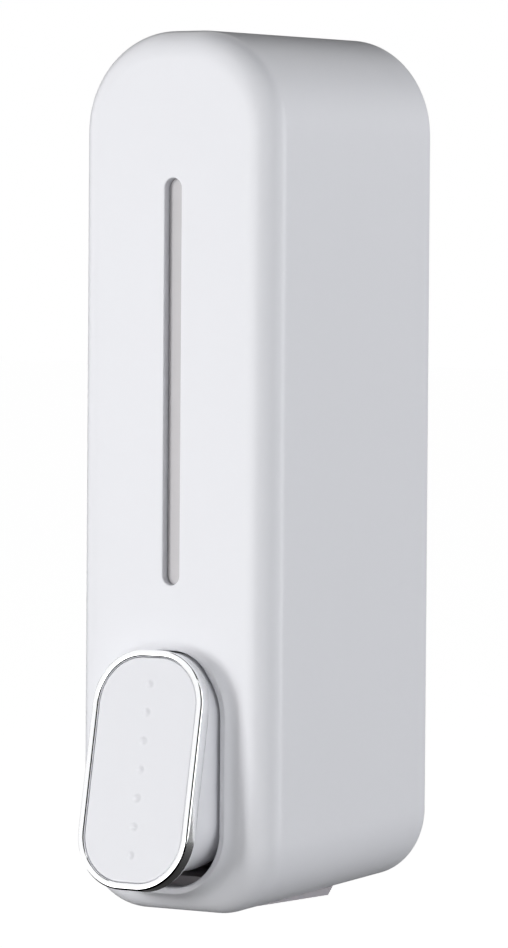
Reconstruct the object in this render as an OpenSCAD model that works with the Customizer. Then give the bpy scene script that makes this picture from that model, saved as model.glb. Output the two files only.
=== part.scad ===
// Wall mounted soap dispenser: a deep white cover over a refillable bottle and a push pump.
// Millimetres. The wall is the plane y = 0, the front faces -Y and +Z is up.
// The origin lies on the wall, midway between the two wall screws.

/* [Cover] */
// Width of the cover
cover_w = 56; // [54:1:72]
// Height of the cover
cover_h = 210; // [200:1:260]
// Depth of the cover from its rear edge to its front face
cover_d = 70; // [66:1:86]
// Wall thickness of the cover
cover_wall = 2.4; // [2.2:0.1:2.5]
// Corner radius at the top of the front outline
top_r = 24; // [16:1:26]
// Corner radius at the bottom of the front outline
bottom_r = 17.5; // [14:0.5:19]
// Radius of the rounded edge around the front face
edge_r = 7; // [5:0.5:8]
// How far the underside climbs from the front to the wall
bottom_rise = 4; // [0:0.5:5]
// Gap between the wall and the rear edge of the cover
rear_gap = 2; // [2:0.1:3]

/* [Level window] */
// Length of the window slot
slot_l = 97; // [60:1:110]
// Width of the window slot
slot_w = 5; // [4:0.5:8]
// Height of the middle of the slot above the middle of the cover
slot_mid = 21.5; // [15:0.5:30]
// Depth from the front face down to the window
slot_sunk = 1.9; // [1:0.1:2.2]
// Thickness of the window strip behind the cover
strip_t = 1.2; // [0.8:0.1:1.6]
// Overlap of the window strip round the slot
strip_lap = 2; // [1:0.5:3]

/* [Push button] */
// Width of the button over its bright rim
button_w = 31.6; // [26:0.2:32]
// Height of the button over its bright rim
button_h = 57.2; // [50:0.2:60]
// Corner radius of the rim
button_r = 13.4; // [8:0.2:14]
// Width of the rim's front band
rim_w = 1.7; // [1:0.1:2.5]
// Depth of the rim
rim_d = 3.3; // [2:0.1:4]
// Tilt of the button face, bottom outwards
button_tilt = 10.5; // [6:0.5:12]
// Distance of the middle of the button face in front of the cover
button_out = 12.4; // [11:0.2:15]
// Height of the middle of the button above the bottom of the cover
button_up = 35; // [34:0.5:40]
// Travel of the button about its hinge, in degrees
button_travel = 9; // [4:0.5:9]
// Number of raised dots on the button face
dot_count = 7; // [3:1:8]
// Spacing of the dots
dot_pitch = 6.8; // [4:0.1:7]
// Radius of a dot at the face
dot_r = 1; // [0.6:0.1:1.5]
// Wall thickness of the button lever
lever_wall = 1.8; // [1.4:0.1:2.2]
// Radius of the hinge pin
pin_r = 1.25; // [1:0.05:1.5]

/* [Collar round the button] */
// Gap between the button rim and the collar
collar_gap = 0.6; // [0.5:0.1:1]
// Height of the collar crest in front of the cover face
collar_h = 3; // [2:0.1:4]
// Width of the collar crest
crest_w = 1.6; // [1:0.1:2.5]
// Width of the collar where it meets the face
collar_w = 4.9; // [3:0.1:5]

/* [Pump] */
// Bore radius of the pump chamber
chamber_r = 8; // [6:0.5:8]
// Wall thickness of the pump chamber
chamber_wall = 2.2; // [1.5:0.1:2.3]
// Length of the pump chamber
chamber_l = 32; // [30:1:34]
// Radius of the piston rod
rod_r = 3; // [2:0.25:4]
// Radius of the check ball
ball_r = 2.5; // [2:0.1:3]
// Inner radius of the spout tip
spout_r = 1.8; // [1:0.1:2.4]

/* [Bottle] */
// Wall thickness of the bottle
bottle_wall = 1.2; // [0.8:0.1:2]
// Radius of the bottle's edges
bottle_r = 7; // [4:0.5:9]
// Bore radius of the filler mouth
mouth_r = 11; // [8:0.5:12]
// Height of the filler cap
cap_h = 10; // [8:0.5:10]

/* [Wall plate] */
// Thickness of the wall plate
plate_t = 3; // [2.5:0.1:3]
// Distance between the two wall screws
screw_pitch = 90; // [60:1:110]
// Radius of the wall screw holes
screw_hole_r = 2.6; // [2:0.1:3]

/* [Hidden] */
$fn = 64;

// Fits
fit_gap = 0.05;      // running fit between a shaft and its hole
slide_gap = 0.15;    // between flat faces that slide
rest_gap = 0.3;      // between loose pieces that rest on each other
side_gap = 0.6;      // between the cover and what it closes over
over = 1;            // how far a cut runs past a face

// Cover
top_z = cover_h / 2;
bottom_z = -cover_h / 2;
rear_y = -rear_gap;
front_y = rear_y - cover_d;
inside_y = front_y + cover_wall;
inside_half = cover_w / 2 - cover_wall;
hull_fn = 56;

// Hook bar near the top, about which the cover tilts
bar_r = 1.5;
bar_y = rear_y - 3.2;
bar_z = top_z - 7.5;
hook_half = 7;
hook_wall = 2.5;

// Button
button_y = front_y - button_out;
button_z = bottom_z + button_up;
lever_half = button_w / 2 - 0.8;
lever_top = button_z + button_h / 2 - 1.2;
lever_bottom = button_z - button_h / 2 + 4.6;
lever_r = button_r - 2;
lever_rear = front_y + 4;
hinge_y = front_y + 6.5;
hinge_z = lever_top - 4.4;
knuckle_r = 3.2;
knuckle_l = 6;
web_t = 2.4;
ear_in = lever_half + 0.8;
ear_t = 3.2;
ear_r = 4;
clip_t = 0.6;
clip_r = pin_r + 1.4;
dot_h = 0.4;
face_low = 0.3;

// Pump, measured back from the front face and up from the underside
pump_z = button_z - 10;
pad_y = front_y + 6;
pad_r = 3;
head_y = pad_y + rest_gap;
head_t = 2;
head_r = 6;
rod_travel = ceil((hinge_z - pump_z + pad_r) * button_travel * PI / 180);
cap_front = head_y + head_t + rod_travel;
cap_t = 4.7;
cap_back = cap_front + cap_t;
cap_r = chamber_r + 4;
chamber_front = cap_front + 1.7;
chamber_back = chamber_front + chamber_l;
barrel_r = chamber_r + chamber_wall;
back_wall = 5;
port_y = chamber_front + 19;
piston_front = cap_back + 0.7;
piston_t = 5;
seal_r = 1;
valve_r = 4;
boss_r = valve_r + 3;
floor_z = pump_z + barrel_r - 0.2;
pip_h = 0.8;
pip_r = 0.5;
pip_out = 1.8;
floor_hole = 1.2;
pip_in = pip_out - pip_r;
ball_z = floor_z + pip_h + sqrt(ball_r * ball_r - pip_in * pip_in) + fit_gap;
ball_lift = 1.3;
seat_hole = 1.8;
seat_z = ball_z + ball_lift + sqrt(ball_r * ball_r - seat_hole * seat_hole) + fit_gap;
seat_h = 4;
cup_r = 6.6;
cup_wall = 2.2;
cup_floor = seat_z + seat_h + 8;
cup_h = 8;
gasket_h = 2.5;
spigot_r = 5.2;
spigot_bore = 3.8;

// Carrier: shelf, cheeks and the base that closes the underside
base_half = 15;
base_z = bottom_z + 1.1;
base_t = 6.4;
base_front = front_y + 12;
base_back = base_front + 37;
base_cut = 2.5;
cheek_t = 2.5;
cheek_front = cap_back + 1;
cheek_back = chamber_back + 7;
cheek_in = base_half - cheek_t;
shelf_z = cup_floor + cup_h + 7.2;
shelf_t = 3;
shelf_half = inside_half - 3.6;
flange_t = 2.6;
flange_half = 21.5;
flange_low = bottom_z + 45.8;
far_screw = 3.5;
near_screw = 6;
flange_front = -plate_t - flange_t;
boss_foot = base_z + base_t;
screw_r = 1.5;
head_h = 1.8;
screw_head_r = 2.8;
tip_left = 0.6;

// Nozzle and outlet valve
nozzle_r = valve_r - fit_gap;
nozzle_bore = nozzle_r - 1.05;
nozzle_flange = 7;
nozzle_tip = bottom_z - 0.5;
oring_r = 0.6;
oring_z = boss_foot + 0.9;
duck_flange_z = boss_foot + 4.8;
duck_flange_t = 1.3;
port_r = 2;

// Bottle
bottle_front = inside_y + strip_t + 1.9;
bottle_back = -plate_t - 5.5;
bottle_half = inside_half - 2.2;
bottle_bottom = shelf_z + rest_gap;
bottle_top = top_z - 23;
neck_r = mouth_r + 2;
neck_h = 7;
cap_wall = 2.4;
gasket_t = 1.3;
cap_bottom = bottle_top + 1.5;
cap_top = cap_bottom + cap_h;
grip_count = 24;
grip_r = 0.7;

// Latch
latch_lift = 4;
notch_half = base_half + side_gap;
catch_top = bottom_z + 11.5;
catch_y = -plate_t - 3.8;
catch_t = 2;
catch_in = notch_half + 0.2;
catch_w = 3.2;
latch_clear = 0.4;
hook_front = catch_y - 3.2;
bridge_z = catch_top + 2;
bridge_t = 3;
stem_half = 7;
stem_top = bottom_z + 35;
stem_front = -plate_t - 3;
rail_bottom = bridge_z + bridge_t + latch_lift + 0.5;
rail_top = stem_top - 3;
rail_w = 2.4;
lip_w = 1.6;
lip_t = 1.5;
stop_z = stem_top + 8;
stop_t = 2;
tab_half = 8;
latch_spring_r = 1.9;

// ---- shared shapes ----

// Cylinder along X from x0 to x1, centred on y and z
module x_rod(r, x0, x1, y, z) {
    translate([x0, y, z]) rotate([0, 90, 0]) cylinder(h = x1 - x0, r = r);
}

// Cylinder along Y from y0 to y1, centred on x and z
module y_rod(r, y0, y1, x, z) {
    translate([x, y0, z]) rotate([-90, 0, 0]) cylinder(h = y1 - y0, r = r);
}

// Cylinder along Z from z0 to z1, centred on x and y
module z_rod(r, z0, z1, x, y) {
    translate([x, y, z0]) cylinder(h = z1 - z0, r = r);
}

// Box given by its low and high corners
module block(low, high) {
    translate(low) cube(high - low);
}

// The same box on the left and on the right
module both_sides(low, high) {
    block(low, high);
    mirror([1, 0, 0]) block(low, high);
}

// Outline drawn in X and Z, given a depth from y0 back to y1
module slab(y0, y1) {
    translate([0, y1, 0]) rotate([90, 0, 0]) linear_extrude(y1 - y0) children();
}

// Rectangle with round corners, centred
module rounded(w, h, r) {
    square([w, h - 2 * r], center = true);
    square([w - 2 * r, h], center = true);
    for (x = [-1, 1], y = [-1, 1])
        translate([x * (w / 2 - r), y * (h / 2 - r)]) circle(r);
}

// Upright slot outline with round ends, centred
module round_slot(w, l) {
    square([w, l - w], center = true);
    for (side = [-1, 1])
        translate([0, side * (l - w) / 2]) circle(w / 2);
}

// Places children in the plane of the tilted button face, y = 0 on the face
module on_button() {
    translate([0, button_y, button_z]) rotate([-button_tilt, 0, 0]) children();
}

// Compression spring along Z from 0 to length, with ground ends left plain
module coil(mid_r, wire_r, length, turns) {
    sides = 6;
    steps = 12;
    rings = turns * steps;
    rise = (length - 2 * wire_r) / rings;
    points = [for (i = [0:rings], k = [0:sides - 1])
        let (around = 360 * i / steps, a = 360 * k / sides, r = mid_r + wire_r * cos(a))
        [r * cos(around), r * sin(around), wire_r + rise * i + wire_r * sin(a)]];
    walls = [for (i = [0:rings - 1], k = [0:sides - 1])
        let (next = (k + 1) % sides, a = i * sides)
        [a + k, a + sides + k, a + sides + next, a + next]];
    start = [for (k = [0:sides - 1]) k];
    end = [for (k = [sides - 1:-1:0]) rings * sides + k];
    polyhedron(points, concat(walls, [start, end]));
}

// Deep rounded form of the cover: four corner discs at the back joined to four rounded
// corners at the front, the bottom ones lower at the front by the rise of the underside
module shell_form(inset, y_back) {
    edge = edge_r - inset;
    y_front = front_y + inset;
    half = cover_w / 2;
    hull() for (side = [-1, 1]) {
        translate([side * (half - top_r), 0, top_z - top_r])
            form_corner(top_r - inset, edge, y_front, y_back, 0);
        translate([side * (half - bottom_r), 0, bottom_z + bottom_r])
            form_corner(bottom_r - inset, edge, y_front, y_back, bottom_rise);
    }
}

// One corner of the form: a rounded front ring and a thin disc at the back, raised by rise
module form_corner(r, edge, y_front, y_back, rise) {
    $fn = hull_fn;
    sliver = 0.01;
    translate([0, y_front + edge, 0]) rotate([90, 0, 0])
        rotate_extrude() translate([r - edge, 0]) circle(edge, $fn = hull_fn / 2);
    translate([0, 0, rise * (y_back - y_front) / cover_d])
        y_rod(r, y_back - sliver, y_back, 0, 0);
}

// ---- the wall side ----

module wall_plate() {
    clear = side_gap;
    top = top_z - cover_wall - 1.4;
    low = bottom_z + bottom_rise + cover_wall + side_gap;
    half = inside_half - clear;
    upper_r = top_r - cover_wall - clear;
    lower_r = bottom_r - cover_wall - clear;
    rib_t = 1.6;
    rib_h = 4;
    rib_out = shelf_half + rib_t;
    rib_top = bottle_top - 20;
    hook_low = bar_z - bar_r - hook_wall - 1.5;
    stop_half = stem_half / 2;
    stop_out = 5;
    rail_front = stem_front - slide_gap;
    color("gainsboro") difference() {
        union() {
            slab(-plate_t, 0) plate_outline(half, top, low, upper_r, lower_r);
            both_sides([shelf_half, -plate_t - rib_h, shelf_z], [rib_out, -plate_t, rib_top]);
            block([-hook_half, bar_y - bar_r - hook_wall, hook_low],
                [hook_half, -plate_t, bar_z + 1.1]);
            both_sides([stem_half + slide_gap, rail_front, rail_bottom],
                [stem_half + rail_w, -plate_t, rail_top]);
            both_sides([stem_half - lip_w, rail_front - lip_t, rail_bottom],
                [stem_half + rail_w, rail_front, rail_top]);
            block([-stop_half, -plate_t - stop_out, stop_z], [stop_half, -plate_t, stop_z + stop_t]);
        }
        x_rod(bar_r + fit_gap, -hook_half - over, hook_half + over, bar_y, bar_z);
        block([-hook_half - over, bar_y - bar_r - fit_gap, bar_z],
            [hook_half + over, bar_y + bar_r + fit_gap, bar_z + 2]);
        for (side = [-1, 1])
            y_rod(screw_hole_r, -plate_t - over, over, 0, side * screw_pitch / 2);
        at_carrier_screws() y_rod(screw_r + 0.02, -plate_t - over, -tip_left, 0, 0);
    }
}

// Outline of the wall plate: large round corners at the top, smaller at the bottom
module plate_outline(half, top, low, upper_r, lower_r) {
    mid = (top - upper_r + low + lower_r) / 2;
    translate([-half, low + lower_r]) square([2 * half, top - upper_r - low - lower_r]);
    translate([-half + upper_r, mid]) square([2 * (half - upper_r), top - mid]);
    translate([-half + lower_r, low]) square([2 * (half - lower_r), mid - low]);
    for (side = [-1, 1]) {
        translate([side * (half - upper_r), top - upper_r]) circle(upper_r);
        translate([side * (half - lower_r), low + lower_r]) circle(lower_r);
    }
}

// Places children at the four screws that hold the carrier on the wall plate
module at_carrier_screws() {
    for (side = [-1, 1], z = [shelf_z - near_screw, flange_low + far_screw])
        translate([side * (flange_half - screw_head_r - rest_gap), 0, z]) children();
}

module carrier() {
    under = shelf_z - shelf_t;
    shelf_lip = 4;
    color("silver") difference() {
        union() {
            block([-shelf_half, cheek_front - shelf_lip, under], [shelf_half, -plate_t, shelf_z]);
            block([-flange_half, flange_front, flange_low], [flange_half, -plate_t, under]);
            both_sides([cheek_in, cheek_front, boss_foot - over], [base_half, cheek_back, under]);
            both_sides([cheek_in, cheek_back, flange_low], [base_half, flange_front, under]);
            carrier_base();
        }
        z_rod(cup_r + cup_wall + side_gap, under - over, shelf_z + over, 0, port_y);
        z_rod(nozzle_r + 0.2, base_z - over, boss_foot + over, 0, port_y);
        at_carrier_screws() y_rod(screw_r + 0.2, flange_front - over, -plate_t + over, 0, 0);
        at_pump_screws() x_rod(screw_r + 0.2, cheek_in - over, base_half + over, 0, 0);
    }
}

// Base that fills the notch in the underside of the cover, bevelled at its rear end
module carrier_base() {
    rotate([90, 0, 90]) translate([0, 0, -base_half]) linear_extrude(2 * base_half)
        polygon([[base_front, base_z], [base_back - base_cut, base_z],
            [base_back, base_z + base_cut], [base_back, boss_foot], [base_front, boss_foot]]);
}

// Places children, drawn on the +X side, at the two screws that hold the pump
module at_pump_screws() {
    for (side = [0, 1])
        mirror([side, 0, 0]) translate([0, chamber_back + back_wall / 2, pump_z]) children();
}

module carrier_screws() {
    color("lightgray") at_carrier_screws() difference() {
        union() {
            y_rod(screw_head_r, flange_front - head_h, flange_front, 0, 0);
            y_rod(screw_r, flange_front, -tip_left - 0.2, 0, 0);
        }
        cross_recess_y(flange_front - head_h);
    }
}

// Cross recess cut into a screw head whose face lies at y
module cross_recess_y(y) {
    depth = 1;
    arm = 1.8;
    width = 0.6;
    block([-arm, y - over, -width / 2], [arm, y + depth, width / 2]);
    block([-width / 2, y - over, -arm], [width / 2, y + depth, arm]);
}

module pump_screws() {
    head_x = base_half + head_h;
    color("lightgray") at_pump_screws() difference() {
        union() {
            x_rod(screw_head_r, base_half, head_x, 0, 0);
            x_rod(screw_r, cheek_in - 5, base_half, 0, 0);
        }
        rotate([0, 0, 90]) cross_recess_y(-head_x);
    }
}

// ---- the pump ----

module pump_body() {
    ear_h = 6;
    wall_half = cheek_in - 0.1;
    cup_low = cup_floor - 3;
    color("whitesmoke") difference() {
        union() {
            y_rod(barrel_r, chamber_front, chamber_back + back_wall, 0, pump_z);
            block([-wall_half, chamber_back, pump_z - ear_h],
                [wall_half, chamber_back + back_wall, pump_z + ear_h]);
            z_rod(boss_r, pump_z, cup_floor, 0, port_y);
            z_rod(cup_r + cup_wall, cup_low, cup_floor + cup_h, 0, port_y);
            z_rod(boss_r, boss_foot, pump_z, 0, port_y);
        }
        y_rod(chamber_r, chamber_front - over, chamber_back, 0, pump_z);
        difference() {
            z_rod(valve_r, floor_z, cup_floor + over, 0, port_y);
            for (a = [0, 120, 240])
                translate([pip_out * cos(a), port_y + pip_out * sin(a), floor_z - over])
                    cylinder(h = over + pip_h, r = pip_r, $fn = 24);
        }
        z_rod(floor_hole, pump_z, floor_z + pip_h + over, 0, port_y);
        z_rod(cup_r, cup_floor, cup_floor + cup_h + over, 0, port_y);
        z_rod(port_r, duck_flange_z, pump_z, 0, port_y);
        z_rod(valve_r, boss_foot - over, duck_flange_z + duck_flange_t, 0, port_y);
        z_rod(valve_r + 2 * oring_r, boss_foot - over, oring_z + oring_r, 0, port_y);
        at_pump_screws() x_rod(screw_r + 0.02, cheek_in - 6, cheek_in + over, 0, 0);
    }
}

module pump_cap() {
    skirt = cap_t + 2;
    rib_count = 12;
    rib_r = 0.8;
    color("silver") difference() {
        union() {
            y_rod(cap_r, cap_front, cap_back, 0, pump_z);
            for (i = [0:rib_count - 1]) rotate_about_pump(360 * i / rib_count)
                y_rod(rib_r, cap_front, cap_back, 0, pump_z + cap_r - rib_r / 3);
        }
        y_rod(rod_r + fit_gap, cap_front - over, cap_back + skirt, 0, pump_z);
        y_rod(barrel_r + fit_gap, chamber_front - fit_gap, cap_back + skirt, 0, pump_z);
    }
}

// Turns children about the pump's axis
module rotate_about_pump(angle) {
    translate([0, 0, pump_z]) rotate([0, angle, 0]) translate([0, 0, -pump_z]) children();
}

module piston() {
    rod_end = piston_front + 1;
    groove_w = 2 * seal_r + 0.8;
    groove_h = 2 * seal_r + 0.1;
    color("gainsboro") difference() {
        union() {
            y_rod(head_r, head_y, head_y + head_t, 0, pump_z);
            y_rod(rod_r, head_y + head_t, rod_end, 0, pump_z);
            y_rod(chamber_r - 0.1, piston_front, piston_front + piston_t, 0, pump_z);
        }
        translate([0, piston_front + piston_t / 2, pump_z]) rotate([90, 0, 0])
            rotate_extrude() translate([chamber_r - 0.6, 0])
                square([groove_w, groove_h], center = true);
    }
}

module piston_seal() {
    color("dimgray") translate([0, piston_front + piston_t / 2, pump_z]) rotate([90, 0, 0])
        rotate_extrude() translate([chamber_r - fit_gap - seal_r / 2, 0])
            square([seal_r, 2 * seal_r], center = true);
}

module pump_spring() {
    wire = 0.5;
    coils = 7;
    color("lightgray") translate([0, piston_front + piston_t, pump_z]) rotate([-90, 0, 0])
        coil(chamber_r - 2, wire, chamber_back - piston_front - piston_t, coils);
}

module inlet_ball() {
    color("lightgray") translate([0, port_y, ball_z]) sphere(ball_r);
}

module inlet_seat() {
    color("whitesmoke") difference() {
        z_rod(valve_r - fit_gap, seat_z, seat_z + seat_h, 0, port_y);
        z_rod(seat_hole, seat_z - over, seat_z + seat_h + over, 0, port_y);
    }
}

module inlet_gasket() {
    color("dimgray") difference() {
        z_rod(cup_r - fit_gap, cup_floor, cup_floor + gasket_h, 0, port_y);
        z_rod(spigot_bore, cup_floor - over, cup_floor + gasket_h + over, 0, port_y);
    }
}

module outlet_valve() {
    bill_r = nozzle_bore - rest_gap;
    bill_low = duck_flange_z - 3.6;
    slit = 0.2;
    slit_half = 1.2;
    bill_wall = 0.8;
    color("lightgray") difference() {
        union() {
            z_rod(valve_r - 0.1, duck_flange_z, duck_flange_z + duck_flange_t, 0, port_y);
            z_rod(bill_r, bill_low, duck_flange_z, 0, port_y);
        }
        z_rod(bill_r - bill_wall, bill_low + 1, duck_flange_z + duck_flange_t + over, 0, port_y);
        block([-slit_half, port_y - slit / 2, bill_low - over],
            [slit_half, port_y + slit / 2, duck_flange_z]);
    }
}

module nozzle() {
    step_z = base_z - 1;
    color("whitesmoke") difference() {
        union() {
            z_rod(nozzle_r, base_z, duck_flange_z, 0, port_y);
            z_rod(nozzle_flange, step_z, base_z, 0, port_y);
            z_rod(spout_r + 1.2, nozzle_tip, step_z, 0, port_y);
        }
        z_rod(nozzle_bore, base_z, duck_flange_z + over, 0, port_y);
        z_rod(spout_r, nozzle_tip - over, base_z + over, 0, port_y);
    }
}

module nozzle_oring() {
    color("dimgray") translate([0, port_y, oring_z])
        rotate_extrude() translate([valve_r + oring_r, 0]) circle(oring_r - 0.02, $fn = 24);
}

// ---- the cover and its button ----

module cover() {
    bar_in = top_r - cover_wall;
    bar_up = bar_z - top_z + top_r;
    bar_half = cover_w / 2 - top_r + sqrt(bar_in * bar_in - bar_up * bar_up) + 0.8;
    hole_w = button_w + 2 * collar_gap;
    hole_h = button_h;
    hole_r = button_r + collar_gap / 2;
    catch_root = 2.6;
    notch_top = catch_top - 2;
    color("white") difference() {
        union() {
            difference() {
                union() {
                    shell_form(0, rear_y);
                    collar(hole_w, hole_h, hole_r);
                }
                shell_form(cover_wall, rear_y + 2 * over);
            }
            x_rod(bar_r, -bar_half, bar_half, bar_y, bar_z);
            hinge_ears();
            both_sides([catch_in, catch_y, bottom_z + bottom_rise + catch_root],
                [catch_in + catch_w, catch_y + catch_t, catch_top]);
        }
        slab(front_y - over, inside_y + over) translate([0, slot_mid]) round_slot(slot_w, slot_l);
        slab(front_y - collar_h - over, inside_y + over) translate([0, button_z])
            rounded(hole_w, hole_h, hole_r);
        block([-notch_half, base_front - side_gap, bottom_z - over],
            [notch_half, rear_y + over, notch_top]);
        x_rod(pin_r + fit_gap, -ear_in - ear_t - over, ear_in + ear_t + over, hinge_y, hinge_z);
    }
}

// Raised collar round the button opening, sloping out from its crest to the face
module collar(hole_w, hole_h, hole_r) {
    thin = 0.1;
    $fn = hull_fn;
    hull() {
        slab(front_y - collar_h, front_y - collar_h + thin) translate([0, button_z])
            rounded(hole_w + 2 * crest_w, hole_h + 2 * crest_w, hole_r + crest_w);
        slab(front_y, front_y + edge_r) translate([0, button_z])
            rounded(hole_w + 2 * collar_w, hole_h + 2 * collar_w, hole_r + collar_w);
    }
}

// Two ears behind the front wall that carry the hinge pin
module hinge_ears() {
    for (side = [0, 1]) mirror([side, 0, 0]) {
        x_rod(ear_r, ear_in, ear_in + ear_t, hinge_y, hinge_z);
        block([ear_in, inside_y - 1.4, hinge_z - ear_r], [ear_in + ear_t, hinge_y, hinge_z + ear_r]);
    }
}

module window() {
    lens_w = slot_w - 0.1;
    color("lightgray") union() {
        slab(front_y + slot_sunk, inside_y + strip_t / 2) translate([0, slot_mid])
            round_slot(lens_w, slot_l - 0.1);
        slab(inside_y, inside_y + strip_t) translate([0, slot_mid])
            round_slot(slot_w + 2 * strip_lap, slot_l + 2 * strip_lap);
    }
}

module hinge_pin() {
    half = ear_in + ear_t + clip_t + 0.5;
    color("lightgray") x_rod(pin_r, -half, half, hinge_y, hinge_z);
}

module pin_clips() {
    low = ear_in + ear_t;
    gap = 1.4;
    color("dimgray") for (side = [0, 1]) mirror([side, 0, 0]) difference() {
        x_rod(clip_r, low, low + clip_t, hinge_y, hinge_z);
        x_rod(pin_r, low - over, low + clip_t + over, hinge_y, hinge_z);
        block([low - over, hinge_y, hinge_z - gap / 2],
            [low + clip_t + over, hinge_y + 2 * clip_r, hinge_z + gap / 2]);
    }
}

// Outline of the lever's skirt, shorter than the rim at the bottom so that it swings clear
module lever_outline(inset) {
    translate([0, (lever_top + lever_bottom) / 2])
        rounded(2 * (lever_half - inset), lever_top - lever_bottom - 2 * inset, lever_r - inset);
}

module button_lever() {
    plug_gap = 0.15;
    inset = 0.4;
    plug_w = button_w - 2 * rim_w - 2 * plug_gap;
    plug_h = button_h - 2 * rim_w - 2 * plug_gap;
    face_back = rim_d - 1;
    reach = 30;
    pad_root = button_y + (pump_z - button_z) * tan(button_tilt)
        + rim_d / cos(button_tilt) + lever_wall / 2;
    color("white") difference() {
        union() {
            difference() {
                slab(front_y - reach, lever_rear) lever_outline(0);
                on_button() block([-reach, -2 * reach, -2 * reach], [reach, rim_d, 2 * reach]);
                difference() {
                    slab(front_y - reach, lever_rear + over) lever_outline(lever_wall);
                    on_button() block([-reach, -2 * reach, -2 * reach],
                        [reach, rim_d + lever_wall, 2 * reach]);
                }
            }
            on_button() slab(face_back, rim_d + 0.4) rounded(plug_w, plug_h, button_r - rim_w - plug_gap);
            on_button() slab(rim_d, rim_d + 1.2)
                rounded(button_w - 2 * inset, button_h - 2 * inset, button_r - inset);
            y_rod(pad_r, pad_root, pad_y, 0, pump_z);
            for (side = [0, 1]) mirror([side, 0, 0]) {
                x_rod(knuckle_r, lever_half - knuckle_l, lever_half, hinge_y, hinge_z);
                block([lever_half - knuckle_l, lever_rear - 2, hinge_z - knuckle_r],
                    [lever_half - knuckle_l + web_t, hinge_y, hinge_z + knuckle_r - 1]);
            }
        }
        x_rod(pin_r + fit_gap, -lever_half - over, lever_half + over, hinge_y, hinge_z);
    }
}

module button_rim() {
    bevel = 0.5;
    color("lightsteelblue") on_button() difference() {
        union() {
            slab(bevel, rim_d) rounded(button_w, button_h, button_r);
            slab(0, bevel) rounded(button_w - bevel, button_h - bevel, button_r - bevel / 2);
        }
        slab(-over, rim_d + over)
            rounded(button_w - 2 * rim_w, button_h - 2 * rim_w, button_r - rim_w);
    }
}

module button_face() {
    width = button_w - 2 * rim_w - 2 * fit_gap;
    height = button_h - 2 * rim_w - 2 * fit_gap;
    back = rim_d - 1;
    dome_r = (dot_r * dot_r + dot_h * dot_h) / (2 * dot_h);
    color("white") on_button() {
        slab(face_low, back) rounded(width, height, button_r - rim_w - fit_gap);
        for (i = [0:dot_count - 1])
            translate([0, face_low, dot_pitch * (i - (dot_count - 1) / 2)]) intersection() {
                translate([0, dome_r - dot_h, 0]) sphere(dome_r);
                y_rod(2 * dot_r, -over, over, 0, 0);
            }
    }
}

// ---- the bottle ----

module reservoir() {
    color("aliceblue") difference() {
        union() {
            bottle_form(0);
            z_rod(neck_r, bottle_top - bottle_wall, bottle_top + neck_h, 0, port_y);
            z_rod(spigot_r, cup_floor + gasket_h + rest_gap, bottle_bottom + bottle_wall, 0, port_y);
        }
        bottle_form(bottle_wall);
        z_rod(mouth_r, bottle_top - 2 * bottle_wall, bottle_top + neck_h + over, 0, port_y);
        z_rod(spigot_bore, cup_floor, bottle_bottom + 2 * bottle_wall, 0, port_y);
    }
}

// Block with eight round corners, shrunk on every side by inset
module bottle_form(inset) {
    r = bottle_r;
    hull() for (side = [-1, 1], y = [bottle_front + r, bottle_back - r])
        for (z = [bottle_bottom + r, bottle_top - r])
            translate([side * (bottle_half - r), y, z]) sphere(r - inset, $fn = 28);
}

module fill_cap() {
    cap_outer = neck_r + 0.1 + cap_wall;
    color("white") difference() {
        z_rod(cap_outer, cap_bottom, cap_top, 0, port_y);
        z_rod(neck_r + 0.1, cap_bottom - over, bottle_top + neck_h + gasket_t, 0, port_y);
        for (i = [0:grip_count - 1])
            translate([0, port_y, 0]) rotate([0, 0, 360 * i / grip_count])
                z_rod(grip_r, cap_bottom - over, cap_top - 1.5, cap_outer + 0.2, 0);
    }
}

module cap_gasket() {
    z = bottle_top + neck_h;
    color("dimgray") difference() {
        z_rod(neck_r - 0.1, z + fit_gap, z + gasket_t - fit_gap, 0, port_y);
        z_rod(mouth_r - 2, z - over, z + gasket_t + over, 0, port_y);
    }
}

// ---- the latch ----

module latch() {
    hook_w = 2.5;
    hook_t = 2;
    end_x = catch_in + 0.2 + hook_w;
    tab_low = bottom_z + 4.5;
    color("silver") union() {
        block([-stem_half, stem_front, bridge_z], [stem_half, -plate_t - slide_gap, stem_top]);
        block([-end_x, hook_front, bridge_z], [end_x, -plate_t - slide_gap, bridge_z + bridge_t]);
        both_sides([end_x - hook_w, hook_front, catch_top + latch_clear],
            [end_x, hook_front + hook_t, bridge_z]);
        block([-tab_half, hook_front - 2, tab_low], [tab_half, stem_front, bridge_z + bridge_t]);
    }
}

module latch_spring() {
    wire = 0.3;
    coils = 5;
    color("lightgray") translate([0, -plate_t - slide_gap - latch_spring_r - wire, stem_top])
        coil(latch_spring_r, wire, stop_z - stem_top, coils);
}

wall_plate();
carrier();
carrier_screws();
pump_body();
pump_cap();
pump_screws();
inlet_seat();
inlet_gasket();
outlet_valve();
nozzle();
nozzle_oring();
pump_spring();
latch_spring();
cover();
window();
hinge_pin();
pin_clips();
button_lever();
button_rim();
button_face();
piston();
piston_seal();
inlet_ball();
reservoir();
fill_cap();
cap_gasket();
latch();
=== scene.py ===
# %% [markdown]
# # A wall mounted soap dispenser
# A deep white cover hides a refillable bottle and a small push pump. You push the plate at the
# bottom of the front, and soap falls out of the spout underneath. The engineering model of every
# part is already there. This notebook loads it, keeps the parts whose shape is right, builds
# smoother pieces where the eye looks closest, and gives every surface a finish.

# %% Load the engineering model
import math

import bmesh
import bpy
from mathutils import Matrix, Vector


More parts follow.
